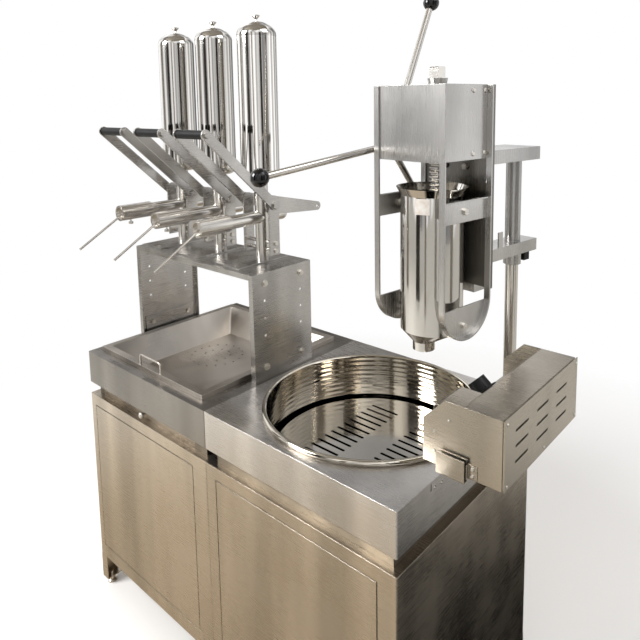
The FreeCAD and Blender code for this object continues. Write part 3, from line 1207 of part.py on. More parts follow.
def press_cylinder():
    """Dough cylinder with a flared rim, four bosses and the slanting cone down to the nozzle."""
    r, w = CYL_R, CYL_WALL
    straight = CYL_Z1 - CYL_FLARE_H
    flare = [(CYL_FLARE_R, CYL_Z1), (CYL_FLARE_R - w, CYL_Z1)]
    barrel = turned((r - w, CYL_Z0), [(r, CYL_Z0), (r, straight)] + flare + [(r - w, straight)], 0, CYL_Y)
    wide, narrow = vec(0, CYL_Y, CYL_Z0), vec(0, NOZZLE_Y, NOZZLE_Z1)
    cone = slanted_cone(wide, r, narrow, NOZZLE_R)
    hole = slanted_cone(wide, r - w, narrow, NOZZLE_R - NOZZLE_WALL)
    bosses = []
    for y, z in cylinder_boss_spots():
        for side in (-1, 1):
            bosses.append(rod(BOSS_R, vec(side * (r - w / 2), y, z), vec(side * FRAME_INNER_HALF, y, z)))
    bore = rod(r - w, vec(0, CYL_Y, CYL_Z0), vec(0, CYL_Y, straight))
    return placed(fuse([barrel, cone.cut(hole)] + bosses).cut(bore))


def press_nozzle():
    """Nozzle ring holding the star-shaped die."""
    ring = pipe(NOZZLE_R, NOZZLE_R - NOZZLE_WALL, vec(0, NOZZLE_Y, NOZZLE_Z0), vec(0, NOZZLE_Y, NOZZLE_Z1))
    floor = NOZZLE_Z0 + NOZZLE_WALL
    disc = rod(NOZZLE_R - NOZZLE_WALL, vec(0, NOZZLE_Y, floor), vec(0, NOZZLE_Y, floor + DIE_THICK))
    star = []
    for k in range(2 * DIE_POINTS):
        turn = math.pi * k / DIE_POINTS
        r = DIE_TIP_R if k % 2 == 0 else DIE_ROOT_R
        star.append(vec(r * math.cos(turn), NOZZLE_Y + r * math.sin(turn), floor))
    return placed(ring.fuse(disc.cut(prism(star, vec(0, 0, DIE_THICK)))))


def gear_frame():
    """Base plate in the gear housing with two bearing cheeks and the guide block behind the rack."""
    top = GEAR_BASE_Z + GEAR_BASE_THICK
    inside = FRAME_INNER_HALF - THIN_SHEET - FREE_GAP
    room = RACK_HALF + FREE_GAP
    front = FRAME_FRONT + FRAME_BAR_THICK + THIN_SHEET + FREE_GAP
    base = box(-inside, inside, front, BACK_FRONT, GEAR_BASE_Z, top)
    parts = [base]
    for side in (-1, 1):
        x0, x1 = span(side * BEARING_INNER, side * BEARING_OUTER)
        parts.append(box(x0, x1, SHAFT_Y - 2.5 * SHAFT_R, RACK_BACK_Y, top, BEARING_TOP))
    guide_y = RACK_BACK_Y + FREE_GAP
    parts.append(box(-room, room, guide_y, guide_y + GUIDE_DEPTH, top, top + GUIDE_H))
    rack_way = box(-room, room, RACK_PITCH_Y - RACK_ADDENDUM - TIP_ROOM, guide_y, GEAR_BASE_Z, top)
    shaft_end = vec(BEARING_OUTER, SHAFT_Y, SHAFT_Z)
    shaft_way = rod(SHAFT_R + RUN_FIT, shaft_end - X_AXIS * 2 * BEARING_OUTER, shaft_end)
    return placed(fuse(parts).cut(rack_way).cut(shaft_way))


def gear_cover():
    """Thin housing open at the back and below, lipped in front, with a flared mouth round the rack."""
    half, t = FRAME_INNER_HALF, THIN_SHEET
    front, back = FRAME_FRONT + FRAME_BAR_THICK, BACK_FRONT
    outer = box(-half, half, front, back, COVER_Z0, COVER_Z1)
    hollow = box(-half + t, half - t, front + t, back, COVER_Z0, COVER_Z1 - t)
    lip = box(-half, half, front, front + COVER_LIP, COVER_Z0 - t, COVER_Z0)
    y, z, r = rack_middle_y(), COVER_Z1, MOUTH_R
    mouth = turned((r, z - t), [(r + t, z - t), (r + t, z), (r + t + MOUTH_FLARE, z + MOUTH_RISE),
                                (r + MOUTH_FLARE, z + MOUTH_RISE), (r, z)], 0, y)
    rack_hole = rod(r, vec(0, y, z - t), vec(0, y, z))
    shaft_hole = rod(SHAFT_R + COVER_ROOM, vec(-half, SHAFT_Y, SHAFT_Z), vec(-half + t, SHAFT_Y, SHAFT_Z))
    shell = fuse([outer.cut(hollow).cut(rack_hole), lip, mouth]).cut(shaft_hole)
    return placed(shell.cut(drill(press_bolt_spots())))


def rack_middle_y():
    return (RACK_PITCH_Y + RACK_BACK_Y) / 2


def press_rack():
    """Square bar with straight-flanked teeth on its front and a chamfered top."""
    tip_y = RACK_PITCH_Y - RACK_ADDENDUM
    root_y = RACK_PITCH_Y + PINION_ADDENDUM + TOOTH_CLEARANCE
    lean = math.tan(math.radians(PRESSURE_ANGLE))
    half_tooth = (RACK_PITCH - BACKLASH) / 4
    half_tip = half_tooth - RACK_ADDENDUM * lean
    half_root = half_tooth + (root_y - RACK_PITCH_Y) * lean
    points = [vec(0, RACK_BACK_Y, RACK_Z0), vec(0, tip_y, RACK_Z0)]
    first = SHAFT_Z - (RACK_TEETH_BELOW + 0.5) * RACK_PITCH
    points.append(vec(0, tip_y, first - RACK_PITCH + half_tip))
    points.append(vec(0, root_y, first - RACK_PITCH + half_root))
    for k in range(RACK_TEETH_BELOW + RACK_TEETH_ABOVE):
        z = first + RACK_PITCH * k
        points += [vec(0, root_y, z - half_root), vec(0, tip_y, z - half_tip),
                   vec(0, tip_y, z + half_tip), vec(0, root_y, z + half_root)]
    last = first + RACK_PITCH * (RACK_TEETH_BELOW + RACK_TEETH_ABOVE)
    points += [vec(0, root_y, last - half_root), vec(0, tip_y, last - half_tip)]
    points += [vec(0, tip_y, RACK_Z1 - RACK_CHAMFER), vec(0, tip_y + RACK_CHAMFER, RACK_Z1),
               vec(0, RACK_BACK_Y - RACK_CHAMFER, RACK_Z1), vec(0, RACK_BACK_Y, RACK_Z1 - RACK_CHAMFER)]
    bar = prism(points, vec(2 * RACK_HALF, 0, 0))
    bar.translate(vec(-RACK_HALF, 0, 0))
    return placed(bar)


def press_piston():
    """Piston disc, rounded at its lower edge, that pushes the dough."""
    piston = rod(CYL_R - CYL_WALL - RUN_FIT, vec(0, CYL_Y, RACK_Z0 - PISTON_H), vec(0, CYL_Y, RACK_Z0))
    rim = [e for e in piston.Edges if abs(e.CenterOfMass.z - RACK_Z0 + PISTON_H) < 1e-6]
    return placed(piston.makeFillet(PISTON_H / 5, rim))


def pinion_outline():
    """Involute spur gear outline in the YZ plane, one tooth pointing along +Y at the rack."""
    base_r = PITCH_R * math.cos(math.radians(PRESSURE_ANGLE))
    tip_r = PITCH_R + PINION_ADDENDUM
    root_r = PITCH_R - RACK_ADDENDUM - TOOTH_CLEARANCE
    steps = 6
    flank = []
    thickness = (RACK_PITCH - BACKLASH) / 2
    involute_at_pitch = math.tan(math.radians(PRESSURE_ANGLE)) - math.radians(PRESSURE_ANGLE)
    for k in range(steps + 1):
        r = base_r + (tip_r - base_r) * k / steps
        roll = math.acos(min(1.0, base_r / r))
        half_angle = thickness / (2 * PITCH_R) + involute_at_pitch - (math.tan(roll) - roll)
        flank.append((r, half_angle))
    root = (root_r, flank[0][1])
    side = [root] + flank
    points = []
    for tooth in range(PINION_TEETH):
        middle = math.tau * tooth / PINION_TEETH
        for r, angle in side:
            points.append((r, middle - angle))
        for r, angle in reversed(side):
            points.append((r, middle + angle))
    return [vec(0, r * math.cos(angle), r * math.sin(angle)) for r, angle in points]


def pinion_shaft():
    """Pinion cut on its shaft, which runs out to the wheel hub."""
    gear = prism(pinion_outline(), vec(2 * PINION_HALF, 0, 0))
    gear.translate(vec(-PINION_HALF, SHAFT_Y, SHAFT_Z))
    shaft = rod(SHAFT_R, vec(HUB_RIGHT, SHAFT_Y, SHAFT_Z), vec(SHAFT_RIGHT, SHAFT_Y, SHAFT_Z))
    washer_x = BEARING_OUTER + FREE_GAP
    washer_face = vec(washer_x, SHAFT_Y, SHAFT_Z)
    washer = rod(SHAFT_R * 1.6, washer_face, washer_face + X_AXIS * SHAFT_WASHER_THICK)
    return placed(fuse([gear, shaft, washer]))


def spoke_ways():
    """Unit vectors of the spokes from the hub."""
    ways = []
    for k in range(WHEEL_SPOKES):
        turn = math.radians(WHEEL_PHASE + 360 * k / WHEEL_SPOKES)
        ways.append(vec(0, math.cos(turn), math.sin(turn)))
    return ways


def wheel_rods():
    centre, length = vec(WHEEL_PLANE, SHAFT_Y, SHAFT_Z), WHEEL_RADIUS - BALL_R * SPOKE_SINK
    return [rod(SPOKE_R, centre, centre + way * length) for way in spoke_ways()]


def wheel_spokes():
    """Hub on the end of the pinion shaft and the round spokes screwed into it."""
    hub = rod(HUB_R, vec(HUB_LEFT, SHAFT_Y, SHAFT_Z), vec(HUB_RIGHT, SHAFT_Y, SHAFT_Z))
    hub = hub.makeFillet(FOLD_RADIUS, [e for e in hub.Edges if abs(e.CenterOfMass.x - HUB_LEFT) < 1e-6
                                       and e.Curve.TypeId == "Part::GeomCircle"])
    return placed(fuse([hub] + wheel_rods()))


def wheel_balls():
    centre = vec(WHEEL_PLANE, SHAFT_Y, SHAFT_Z)
    balls = []
    for way, spoke in zip(spoke_ways(), wheel_rods()):
        ball = Part.makeSphere(BALL_R, centre + way * WHEEL_RADIUS)
        balls.append(placed(ball.cut(spoke)))
    return balls


def press_bolts():
    return [placed(piece) for piece in fasten(press_bolt_spots())]


# ---- Node list ----
def station_bolts():
    pieces = bridge_bolts() + flange_bolts()
    for x in FILLER_XS:
        pieces += filler_fasteners(x)
    return pieces + fasten(apron_screw_spots())


def all_nodes():
    names = ("left", "middle", "right")
    nodes = {
        "cabinet_left": [cabinet(LEFT_MODULE_X, -1)],
        "cabinet_right": [cabinet(RIGHT_MODULE_X, 1)],
        "cabinet_legs": [leg(*corner) for corner in corners()],
        "levelling_feet": [levelling_foot(*corner) for corner in corners()],
        "door_hinge_pins": hinge_pins(),
        "door_left": [door(-1)],
        "door_right": [door(1)],
        "worktop_plinths": [drawer_plinth(), plinth(RIGHT_MODULE_X)],
        "worktop_left": [worktop_left()],
        "worktop_right": [worktop_right()],
        "crumb_drawer": [crumb_drawer()],
        "drawer_knob": [drawer_knob()],
        "sugar_tray": [sugar_tray()],
        "bridge_plate": [bridge_plate()],
        "bridge_legs": bridge_legs(),
        "bridge_angles": bridge_angles(),
        "station_bolts": station_bolts(),
        "filler_base_plates": [base_plate(x) for x in FILLER_XS],
        "filler_posts": [piece for x in FILLER_XS for piece in filler_post(x)],
        "filler_cheeks": [cheek(x, side) for x in FILLER_XS for side in (-1, 1)],
        "filler_sleeves": [filler_sleeve(x) for x in FILLER_XS],
        "filler_clamp_screws": [piece for x in FILLER_XS for piece in sleeve_screws(x)],
        "filler_spouts": [spout(x) for x in FILLER_XS],
        "fryer_pan": fryer_pan(),
        "slotted_grid": [slotted_grid()],
        "heating_element": [heating_element()],
        "head_case": [head_case()],
        "vent_cover": [vent_cover()],
        "lead_cover": [lead_cover()],
        "head_clip": head_clip(),
        "head_screws": fasten(head_screw_spots()),
        "thermostat_dial": [thermostat_dial()],
        "press_post": [press_post()],
        "swing_hanger": [swing_hanger()],
        "swing_lock": [swing_lock()],
        "press_back_plate": [back_plate()],
        "press_side_frames": [side_frame(-1), side_frame(1)],
        "press_side_plates": [upper_side_plate(-1), upper_side_plate(1)],
        "press_cylinder": [press_cylinder()],
        "press_nozzle": [press_nozzle()],
        "gear_frame": [gear_frame()],
        "gear_cover": [gear_cover()],
        "press_bolts": press_bolts(),
        "press_rack": [press_rack()],
        "press_piston": [press_piston()],
        "pinion_shaft": [pinion_shaft()],
        "wheel_spokes": [wheel_spokes()],
        "wheel_balls": wheel_balls(),
    }
    for name, x in zip(names, FILLER_XS):
        nodes["hopper_" + name] = [hopper(x)]
        nodes["hopper_lid_" + name] = [hopper_lid(x)]
        nodes["filler_lever_" + name] = [lever(x)]
        nodes["lever_grip_" + name] = [lever_grip(x)]
    return nodes


def write_nodes(nodes):
    os.makedirs("parts", exist_ok=True)
    for name, solids in nodes.items():
        solids = [moved(solid, -DATUM) for solid in solids]
        shape = solids[0] if len(solids) == 1 else Part.makeCompound(solids)
        shape.exportStep("parts/" + name + ".step")
        print(name, len(shape.Solids), shape.isValid(), round(shape.Volume))


write_nodes(all_nodes())
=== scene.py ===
"""Finishes, studio and small dressings of the churro station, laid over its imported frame."""
import logging
import math
from dataclasses import dataclass, field
from enum import Enum
from typing import ClassVar

import bmesh
import bpy
from mathutils import Matrix, Vector


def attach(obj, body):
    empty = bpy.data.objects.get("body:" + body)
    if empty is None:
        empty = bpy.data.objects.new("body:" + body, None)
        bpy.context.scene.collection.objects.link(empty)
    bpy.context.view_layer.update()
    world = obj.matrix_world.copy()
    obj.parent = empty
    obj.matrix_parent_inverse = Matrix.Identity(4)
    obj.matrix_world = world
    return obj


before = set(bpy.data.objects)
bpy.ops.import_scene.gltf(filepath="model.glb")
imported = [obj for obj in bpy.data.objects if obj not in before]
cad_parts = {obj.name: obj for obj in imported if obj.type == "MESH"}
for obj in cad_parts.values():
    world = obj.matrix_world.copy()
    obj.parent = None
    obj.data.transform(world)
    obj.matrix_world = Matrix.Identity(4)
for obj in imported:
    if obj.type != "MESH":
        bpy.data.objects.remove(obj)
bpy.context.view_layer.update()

log = logging.getLogger("churro_station")

Vec = tuple[float, float, float]
Span = tuple[float, float]
Socket = bpy.types.NodeSocket
Tree = bpy.types.NodeTree

TOP_FACING = 0.8
"""A face whose normal leans up or down by more than this is a top."""
NOISE_SPAN = (0.3, 0.7)
"""Most of a noise's values lie between these two."""
WAVE_LENGTH = 0.314
"""Metres between the crests of a wave texture of scale one."""
QUARTER_TURN = 0.25
"""Anisotropic rotation that lays the grain across the tangent."""
WHITE = (1.0, 1.0, 1.0, 1.0)
"""The backdrop's colour, in linear light."""


def linear(colour: str) -> tuple[float, float, float, float]:
    """Turn an sRGB hex colour into the linear colour a shader socket takes.

    Args:
        colour: "#RRGGBB".

    Returns:
        Linear red, green, blue and an alpha of one.
    """
    parts = [int(colour[i:i + 2], 16) / 255 for i in (1, 3, 5)]
    lin = [c / 12.92 if c <= 0.04045 else ((c + 0.055) / 1.055) ** 2.4 for c in parts]
    return (lin[0], lin[1], lin[2], 1.0)


def add(tree: Tree, kind: str, links: dict | None = None, **settings: object) -> bpy.types.Node:
    """Add one node to a tree, set its properties and sockets, and wire its inputs.

    Args:
        tree: the node tree that gets the node.
        kind: the node's Blender type name.
        links: input name or index -> the output socket that feeds it, or a plain value.
        **settings: properties of the node itself.

    Returns:
        The new node.
    """
    node = tree.nodes.new(kind)
    for name, value in settings.items():
        setattr(node, name, value)
    for key, source in (links or {}).items():
        if isinstance(source, bpy.types.NodeSocket):
            tree.links.new(source, node.inputs[key])
        else:
            node.inputs[key].default_value = source
    return node


class Kind(Enum):
    """What a mix node blends: its data type, its two inputs and its output."""

    VALUE = ("FLOAT", 2, 3, 0)
    VECTOR = ("VECTOR", 4, 5, 1)
    COLOUR = ("RGBA", 6, 7, 2)


def blend(tree: Tree, kind: Kind, share: Socket, first: object, second: object) -> Socket:
    """Blend two values, vectors or colours.

    Args:
        tree: the node tree that gets the node.
        kind: what is blended.
        share: how much of the second one shows, from 0 to 1.
        first: what shows at 0, as a socket or a plain value.
        second: what shows at 1, as a socket or a plain value.

    Returns:
        The blend as a socket.
    """
    data_type, low, high, result = kind.value
    node = add(tree, "ShaderNodeMix", {"Factor": share, low: first, high: second}, data_type=data_type)
    return node.outputs[result]


def layered(tree: Tree, share: Socket, first: Socket, second: Socket) -> Socket:
    """Blend two shaders.

    Args:
        tree: the node tree that gets the node.
        share: how much of the second one shows, from 0 to 1.
        first: the shader that shows at 0.
        second: the shader that shows at 1.

    Returns:
        The blended shader.
    """
    return add(tree, "ShaderNodeMixShader", {0: share, 1: first, 2: second}).outputs[0]


def calculate(tree: Tree, operation: str, *values: object) -> Socket:
    """Work out one value from others.

    Args:
        tree: the node tree that gets the node.
        operation: Blender's name for the calculation.
        *values: its inputs in order, as sockets or plain values.

    Returns:
        The result as a socket.
    """
    return add(tree, "ShaderNodeMath", dict(enumerate(values)), operation=operation).outputs[0]


def stretch(tree: Tree, value: Socket, span: Span, onto: Span = (0.0, 1.0)) -> Socket:
    """Stretch one span of values onto another, holding what lies outside at its ends.

    Args:
        tree: the node tree that gets the node.
        value: the values.
        span: the lowest and the highest value that is stretched.
        onto: what these two become.

    Returns:
        The stretched values as a socket.
    """
    node = add(
        tree,
        "ShaderNodeMapRange",
        {"Value": value, "From Min": span[0], "From Max": span[1], "To Min": onto[0], "To Max": onto[1]},
    )
    return node.outputs[0]


def on_object(tree: Tree) -> Socket:
    """Give the places on an object, in metres, which stay with it when it moves.

    Args:
        tree: the node tree that gets the node.

    Returns:
        The object's own coordinates.
    """
    return add(tree, "ShaderNodeTexCoord").outputs["Object"]


def by_camera(tree: Tree) -> Socket:
    """Tell what the camera sees itself from what is mirrored or lit.

    Args:
        tree: the node tree that gets the node.

    Returns:
        A socket that is one for the camera's own rays and zero elsewhere.
    """
    return add(tree, "ShaderNodeLightPath").outputs["Is Camera Ray"]


def drawn_noise(tree: Tree, place: Socket, scale: Vec, detail: float) -> Socket:
    """Make a noise that is drawn out along the axes.

    Args:
        tree: the node tree that gets the nodes.
        place: the coordinates it is laid on.
        scale: how many patches fit into one unit along each axis.
        detail: how many finer noises are laid over the first.

    Returns:
        The noise as a socket from 0 to 1.
    """
    drawn = add(tree, "ShaderNodeMapping", {"Vector": place, "Scale": scale})
    noise = add(
        tree,
        "ShaderNodeTexNoise",
        {"Vector": drawn.outputs[0], "Scale": 1.0, "Detail": detail},
    )
    return noise.outputs[0]


def surface(tree: Tree, shown: Socket) -> None:
    """Wire a shader to a material's output in place of the one that is there.

    Args:
        tree: the material's node tree.
        shown: the shader's output.
    """
    output = next(node for node in tree.nodes if node.type == "OUTPUT_MATERIAL")
    tree.links.new(shown, output.inputs["Surface"])


class Grain(Enum):
    """The way a sheet was brushed before it was folded."""

    LEVEL = "level"
    UPRIGHT = "upright"


@dataclass(frozen=True)
class Finish:
    """What every finish shares: its name, colour and gloss, and how broken its patterns are."""

    name: str
    colour: str
    roughness: float
    streak_detail: ClassVar[float] = 4.0
    cloud_detail: ClassVar[float] = 3.0
    cloud_breakup: ClassVar[float] = 0.55
    edge_samples: ClassVar[int] = 4

    def start(self, metallic: float = 0.0) -> tuple[bpy.types.Material, Tree, bpy.types.Node]:
        """Open a new material with one Principled shader wired to its output.

        Args:
            metallic: one for metal, zero for anything else.

        Returns:
            The material, its node tree and the shader.
        """
        material = bpy.data.materials.new(self.name)
        material.use_nodes = True
        tree = material.node_tree
        tree.nodes.clear()
        shader = add(
            tree,
            "ShaderNodeBsdfPrincipled",
            {"Base Color": linear(self.colour), "Roughness": self.roughness, "Metallic": metallic},
        )
        add(tree, "ShaderNodeOutputMaterial")
        surface(tree, shader.outputs[0])
        return material, tree, shader

    def on_tops(self, tree: Tree) -> Socket:
        """Tell level faces from upright ones.

        Args:
            tree: the material's node tree.

        Returns:
            A socket that is one on tops and undersides and zero elsewhere.
        """
        turn = add(tree, "ShaderNodeNewGeometry")
        facing = add(tree, "ShaderNodeSeparateXYZ", {0: turn.outputs["Normal"]})
        lean = calculate(tree, "ABSOLUTE", facing.outputs["Z"])
        return calculate(tree, "GREATER_THAN", lean, TOP_FACING)

    def streaks(self, tree: Tree, across: float, along: float, level: bool = True) -> Socket:
        """Long fine streaks over an object.

        Args:
            tree: the material's node tree.
            across: width of one streak in metres.
            along: length of one streak in metres.
            level: streaks lie level on upright faces, or stand upright.

        Returns:
            The streaks as a socket from 0 to 1.
        """
        place = on_object(tree)
        short, long = 1 / across, 1 / along
        wall_scale = (long, long, short) if level else (short, short, long)
        top_scale = (long, short, short)
        walls, tops = (
            drawn_noise(tree, place, scale, self.streak_detail) for scale in (wall_scale, top_scale)
        )
        return blend(tree, Kind.VALUE, self.on_tops(tree), walls, tops)

    def clouds(self, tree: Tree, size: float, low: float, high: float) -> Socket:
        """Soft patches, such as handling marks and smears left by wiping.

        Args:
            tree: the material's node tree.
            size: width of one patch in metres.
            low: value in the valleys.
            high: value on the crests.

        Returns:
            The patches as a socket from low to high.
        """
        noise = add(
            tree,
            "ShaderNodeTexNoise",
            {"Vector": on_object(tree), "Scale": 1 / size, "Detail": self.cloud_detail,
             "Roughness": self.cloud_breakup},
        )
        return stretch(tree, noise.outputs[0], NOISE_SPAN, (low, high))

    def around(self, spread: float) -> Span:
        """Give a span with the finish's roughness in its middle.

        Args:
            spread: how far the span reaches to each side.

        Returns:
            The smoothest and the roughest value.
        """
        return self.roughness - spread, self.roughness + spread

    def relief(
        self,
        tree: Tree,
        shader: bpy.types.Node,
        height: Socket,
        strength: float,
        depth: float,
        edge: float = 0.0,
    ) -> None:
        """Raise a fine pattern on the surface and round its edges in the light.

        Args:
            tree: the material's node tree.
            shader: its Principled shader.
            height: the pattern.
            strength: how much of the pattern shows, from 0 to 1.
            depth: metres from a valley to a crest.
            edge: radius of the rounded edges in metres, or zero for sharp ones.
        """
        links = {"Strength": strength, "Distance": depth, "Height": height}
        if edge:
            corner = add(tree, "ShaderNodeBevel", {"Radius": edge}, samples=self.edge_samples)
            links["Normal"] = corner.outputs[0]
        bump = add(tree, "ShaderNodeBump", links)
        tree.links.new(bump.outputs[0], shader.inputs["Normal"])


@dataclass(frozen=True)
class SatinSteel(Finish):
    """Number 4 brushed stainless: a fine one-way grain that smears reflections across it."""

    grain: Grain = Grain.LEVEL
    grain_width: float = 0.0006
    grain_length: float = 0.06
    smear_size: float = 0.16
    edge: float = 0.0016
    pull: float = 0.55
    # How dark the colour gets in the painted reflection bands.
    dull: float = 0.72
    gloss_spread: float = 0.05
    smear_gloss: Span = (-0.05, 0.06)
    tone_spread: float = 0.03
    blue_loss: float = 0.005
    grain_strength: float = 0.07
    grain_depth: float = 0.00006
    # The painted reflection bands: their scale, span and detail.
    band_scale: Vec = (7.0, 7.0, 0.9)
    band_span: Span = (0.42, 0.66)
    band_detail: float = 2.0

    def bands(self, tree: Tree) -> Socket:
        """Painted reflection: broad soft bands up the sheet that darken its colour, standing in for dark
        reflections.

        Args:
            tree: the material's node tree.

        Returns:
            The bands as a socket from 0 to 1.
        """
        noise = drawn_noise(tree, on_object(tree), self.band_scale, self.band_detail)
        return stretch(tree, noise, self.band_span)

    def make(self) -> bpy.types.Material:
        """Build the material.

        Returns:
            The finished material.
        """
        material, tree, shader = self.start(metallic=1.0)
        shader.inputs["Anisotropic"].default_value = self.pull
        level = self.grain is Grain.LEVEL
        shader.inputs["Anisotropic Rotation"].default_value = QUARTER_TURN if level else 0.0
        lines = self.streaks(tree, self.grain_width, self.grain_length, level)
        smears = self.clouds(tree, self.smear_size, *self.smear_gloss)
        line_gloss = stretch(tree, lines, NOISE_SPAN, self.around(self.gloss_spread))
        tree.links.new(calculate(tree, "ADD", line_gloss, smears), shader.inputs["Roughness"])
        red, green, blue, _ = linear(self.colour)
        low, high = 1 - self.tone_spread, 1 + self.tone_spread
        valley = (red * low, green * low, blue * (low - self.blue_loss), 1)
        crest = (min(red * high, 1), min(green * high, 1), min(blue * high, 1), 1)
        # Painted reflection: the colour darkens in broad upright bands.
        painted_dark_band = (red * self.dull, green * self.dull, blue * self.dull, 1)
        tone = blend(tree, Kind.COLOUR, lines, valley, crest)
        painted_tone = blend(tree, Kind.COLOUR, self.bands(tree), tone, painted_dark_band)
        tree.links.new(painted_tone, shader.inputs["Base Color"])
        self.relief(tree, shader, lines, self.grain_strength, self.grain_depth, self.edge)
        walls = add(tree, "ShaderNodeTangent", direction_type="RADIAL", axis="Z")
        tops = add(tree, "ShaderNodeTangent", direction_type="RADIAL", axis="Y")
        tangent = blend(tree, Kind.VECTOR, self.on_tops(tree), walls.outputs[0], tops.outputs[0])
        tree.links.new(tangent, shader.inputs["Tangent"])
        return material


@dataclass(frozen=True)
class MirrorSteel(Finish):
    """Buffed stainless: a near mirror with faint rings left by the buffing wheel."""

    ring: float = 0.0016
    smear_size: float = 0.09
    smear_gloss: Span = (0.6, 1.6)
    # Below this height the colour turns near black: painted shade under the slotted grid.
    spin: float = 0.0
    shade_below: float = 0.0
    under_grid_shade: str = "#17120D"
    ring_length: float = 0.5
    wave_size: float = 0.14
    ring_height: float = 0.03
    spin_height: float = 1.2
    spin_wander: float = 0.6
    spin_detail: float = 1.0
    wave_strength: float = 0.35
    wave_depth: float = 0.0006

    def make(self) -> bpy.types.Material:
        """Build the material.

        Returns:
            The finished material.
        """
        material, tree, shader = self.start(metallic=1.0)
        lines = self.streaks(tree, self.ring, self.ring_length)
        shiny, dull = self.smear_gloss
        smears = self.clouds(tree, self.smear_size, self.roughness * shiny, self.roughness * dull)
        tree.links.new(smears, shader.inputs["Roughness"])
        # Painted shade: near black below the grid's height.
        if self.shade_below:
            place = add(tree, "ShaderNodeSeparateXYZ", {0: on_object(tree)})
            under_grid = calculate(tree, "LESS_THAN", place.outputs["Z"], self.shade_below)
            shaded_below_grid = blend(tree, Kind.COLOUR, under_grid, linear(self.colour), linear(self.under_grid_shade))
            tree.links.new(shaded_below_grid, shader.inputs["Base Color"])
        waves = self.clouds(tree, self.wave_size, 0.0, 1.0)
        height = calculate(tree, "MULTIPLY_ADD", lines, self.ring_height, waves)
        if self.spin:
            rings = add(
                tree,
                "ShaderNodeTexWave",
                {"Vector": on_object(tree), "Scale": WAVE_LENGTH / self.spin,
                 "Distortion": self.spin_wander, "Detail": self.spin_detail},
                bands_direction="Z",
            )
            height = calculate(tree, "MULTIPLY_ADD", rings.outputs["Fac"], self.spin_height, height)
        self.relief(tree, shader, height, self.wave_strength, self.wave_depth)
        return material


@dataclass(frozen=True)
class TurnedSteel(Finish):
    """Turned or rolled bar and hardware: plain grey steel with fine tool lines."""

    line: float = 0.0012
    line_length: float = 0.02
    gloss_spread: float = 0.03
    edge: float = 0.0006
    line_strength: float = 0.06
    line_depth: float = 0.00005

    def make(self) -> bpy.types.Material:
        """Build the material.

        Returns:
            The finished material.
        """
        material, tree, shader = self.start(metallic=1.0)
        lines = self.streaks(tree, self.line, self.line_length)
        gloss = stretch(tree, lines, NOISE_SPAN, self.around(self.gloss_spread))
        tree.links.new(gloss, shader.inputs["Roughness"])
        self.relief(tree, shader, lines, self.line_strength, self.line_depth, self.edge)
        return material


@dataclass(frozen=True)
class MouldedBlack(Finish):
    """Moulded black plastic: a fine spark grain, rubbed smoother in patches."""

    grain: float = 0.0009
    depth: float = 0.00012
    shine: float = 0.22
    pit_detail: float = 2.0
    pit_strength: float = 0.5
    rubbed_size: float = 0.05
    rubbed_by: float = 0.1
    dulled_by: float = 0.08
    edge: float = 0.0008

    def make(self) -> bpy.types.Material:
        """Build the material.

        Returns:
            The finished material.
        """
        material, tree, shader = self.start()
        pits = add(
            tree,
            "ShaderNodeTexNoise",
            {"Vector": on_object(tree), "Scale": 1 / self.grain, "Detail": self.pit_detail},
        )
        shader.inputs["Specular IOR Level"].default_value = self.shine
        low, high = self.roughness - self.rubbed_by, self.roughness + self.dulled_by
        rubbed = self.clouds(tree, self.rubbed_size, low, high)
        tree.links.new(rubbed, shader.inputs["Roughness"])
        self.relief(tree, shader, pits.outputs[0], self.pit_strength, self.depth, self.edge)
        return material


@dataclass(frozen=True)
class PhenolicBall(Finish):
    """Black phenolic resin: polished in a tumbler, with a hard clear gloss and faint swirls."""

    swirl: float = 0.012
    swirl_gloss: Span = (0.7, 1.5)
    shine: float = 0.3
    coat: float = 0.35
    coat_roughness: float = 0.05

    def make(self) -> bpy.types.Material:
        """Build the material.

        Returns:
            The finished material.
        """
        material, tree, shader = self.start()
        shader.inputs["Specular IOR Level"].default_value = self.shine
        shader.inputs["Coat Weight"].default_value = self.coat
        shader.inputs["Coat Roughness"].default_value = self.coat_roughness
        shiny, dull = self.swirl_gloss
        swirls = self.clouds(tree, self.swirl, self.roughness * shiny, self.roughness * dull)
        tree.links.new(swirls, shader.inputs["Roughness"])
        return material


@dataclass(frozen=True)
class ElementSheath(Finish):
    """Nickel-steel heater tube: matt grey, browned by the heat along its run."""

    heat: str = "#5A4636"
    bloom_size: float = 0.06
    scale_size: float = 0.02
    gloss_spread: float = 0.1

    def make(self) -> bpy.types.Material:
        """Build the material.

        Returns:
            The finished material.
        """
        material, tree, shader = self.start(metallic=1.0)
        bloom = self.clouds(tree, self.bloom_size, 0.0, 1.0)
        tone = blend(tree, Kind.COLOUR, bloom, linear(self.colour), linear(self.heat))
        tree.links.new(tone, shader.inputs["Base Color"])
        rough = self.clouds(tree, self.scale_size, *self.around(self.gloss_spread))
        tree.links.new(rough, shader.inputs["Roughness"])
        return material


@dataclass(frozen=True)
class StickerPaper(Finish):
    """Coated paper: off-white, slightly glossy, faintly browned by frying fat in patches."""

    stain: str = "#CDBFAE"
    stain_size: float = 0.012
    stain_share: float = 0.7
    rubbed_size: float = 0.02
    rubbed_by: float = 0.08
    dulled_by: float = 0.12

    def make(self) -> bpy.types.Material:
        """Build the material.

        Returns:
            The finished material.
        """
        material, tree, shader = self.start()
        patches = self.clouds(tree, self.stain_size, 0.0, self.stain_share)
        tone = blend(tree, Kind.COLOUR, patches, linear(self.colour), linear(self.stain))
        tree.links.new(tone, shader.inputs["Base Color"])
        low, high = self.roughness - self.rubbed_by, self.roughness + self.dulled_by
        gloss = self.clouds(tree, self.rubbed_size, low, high)
        tree.links.new(gloss, shader.inputs["Roughness"])
        return material


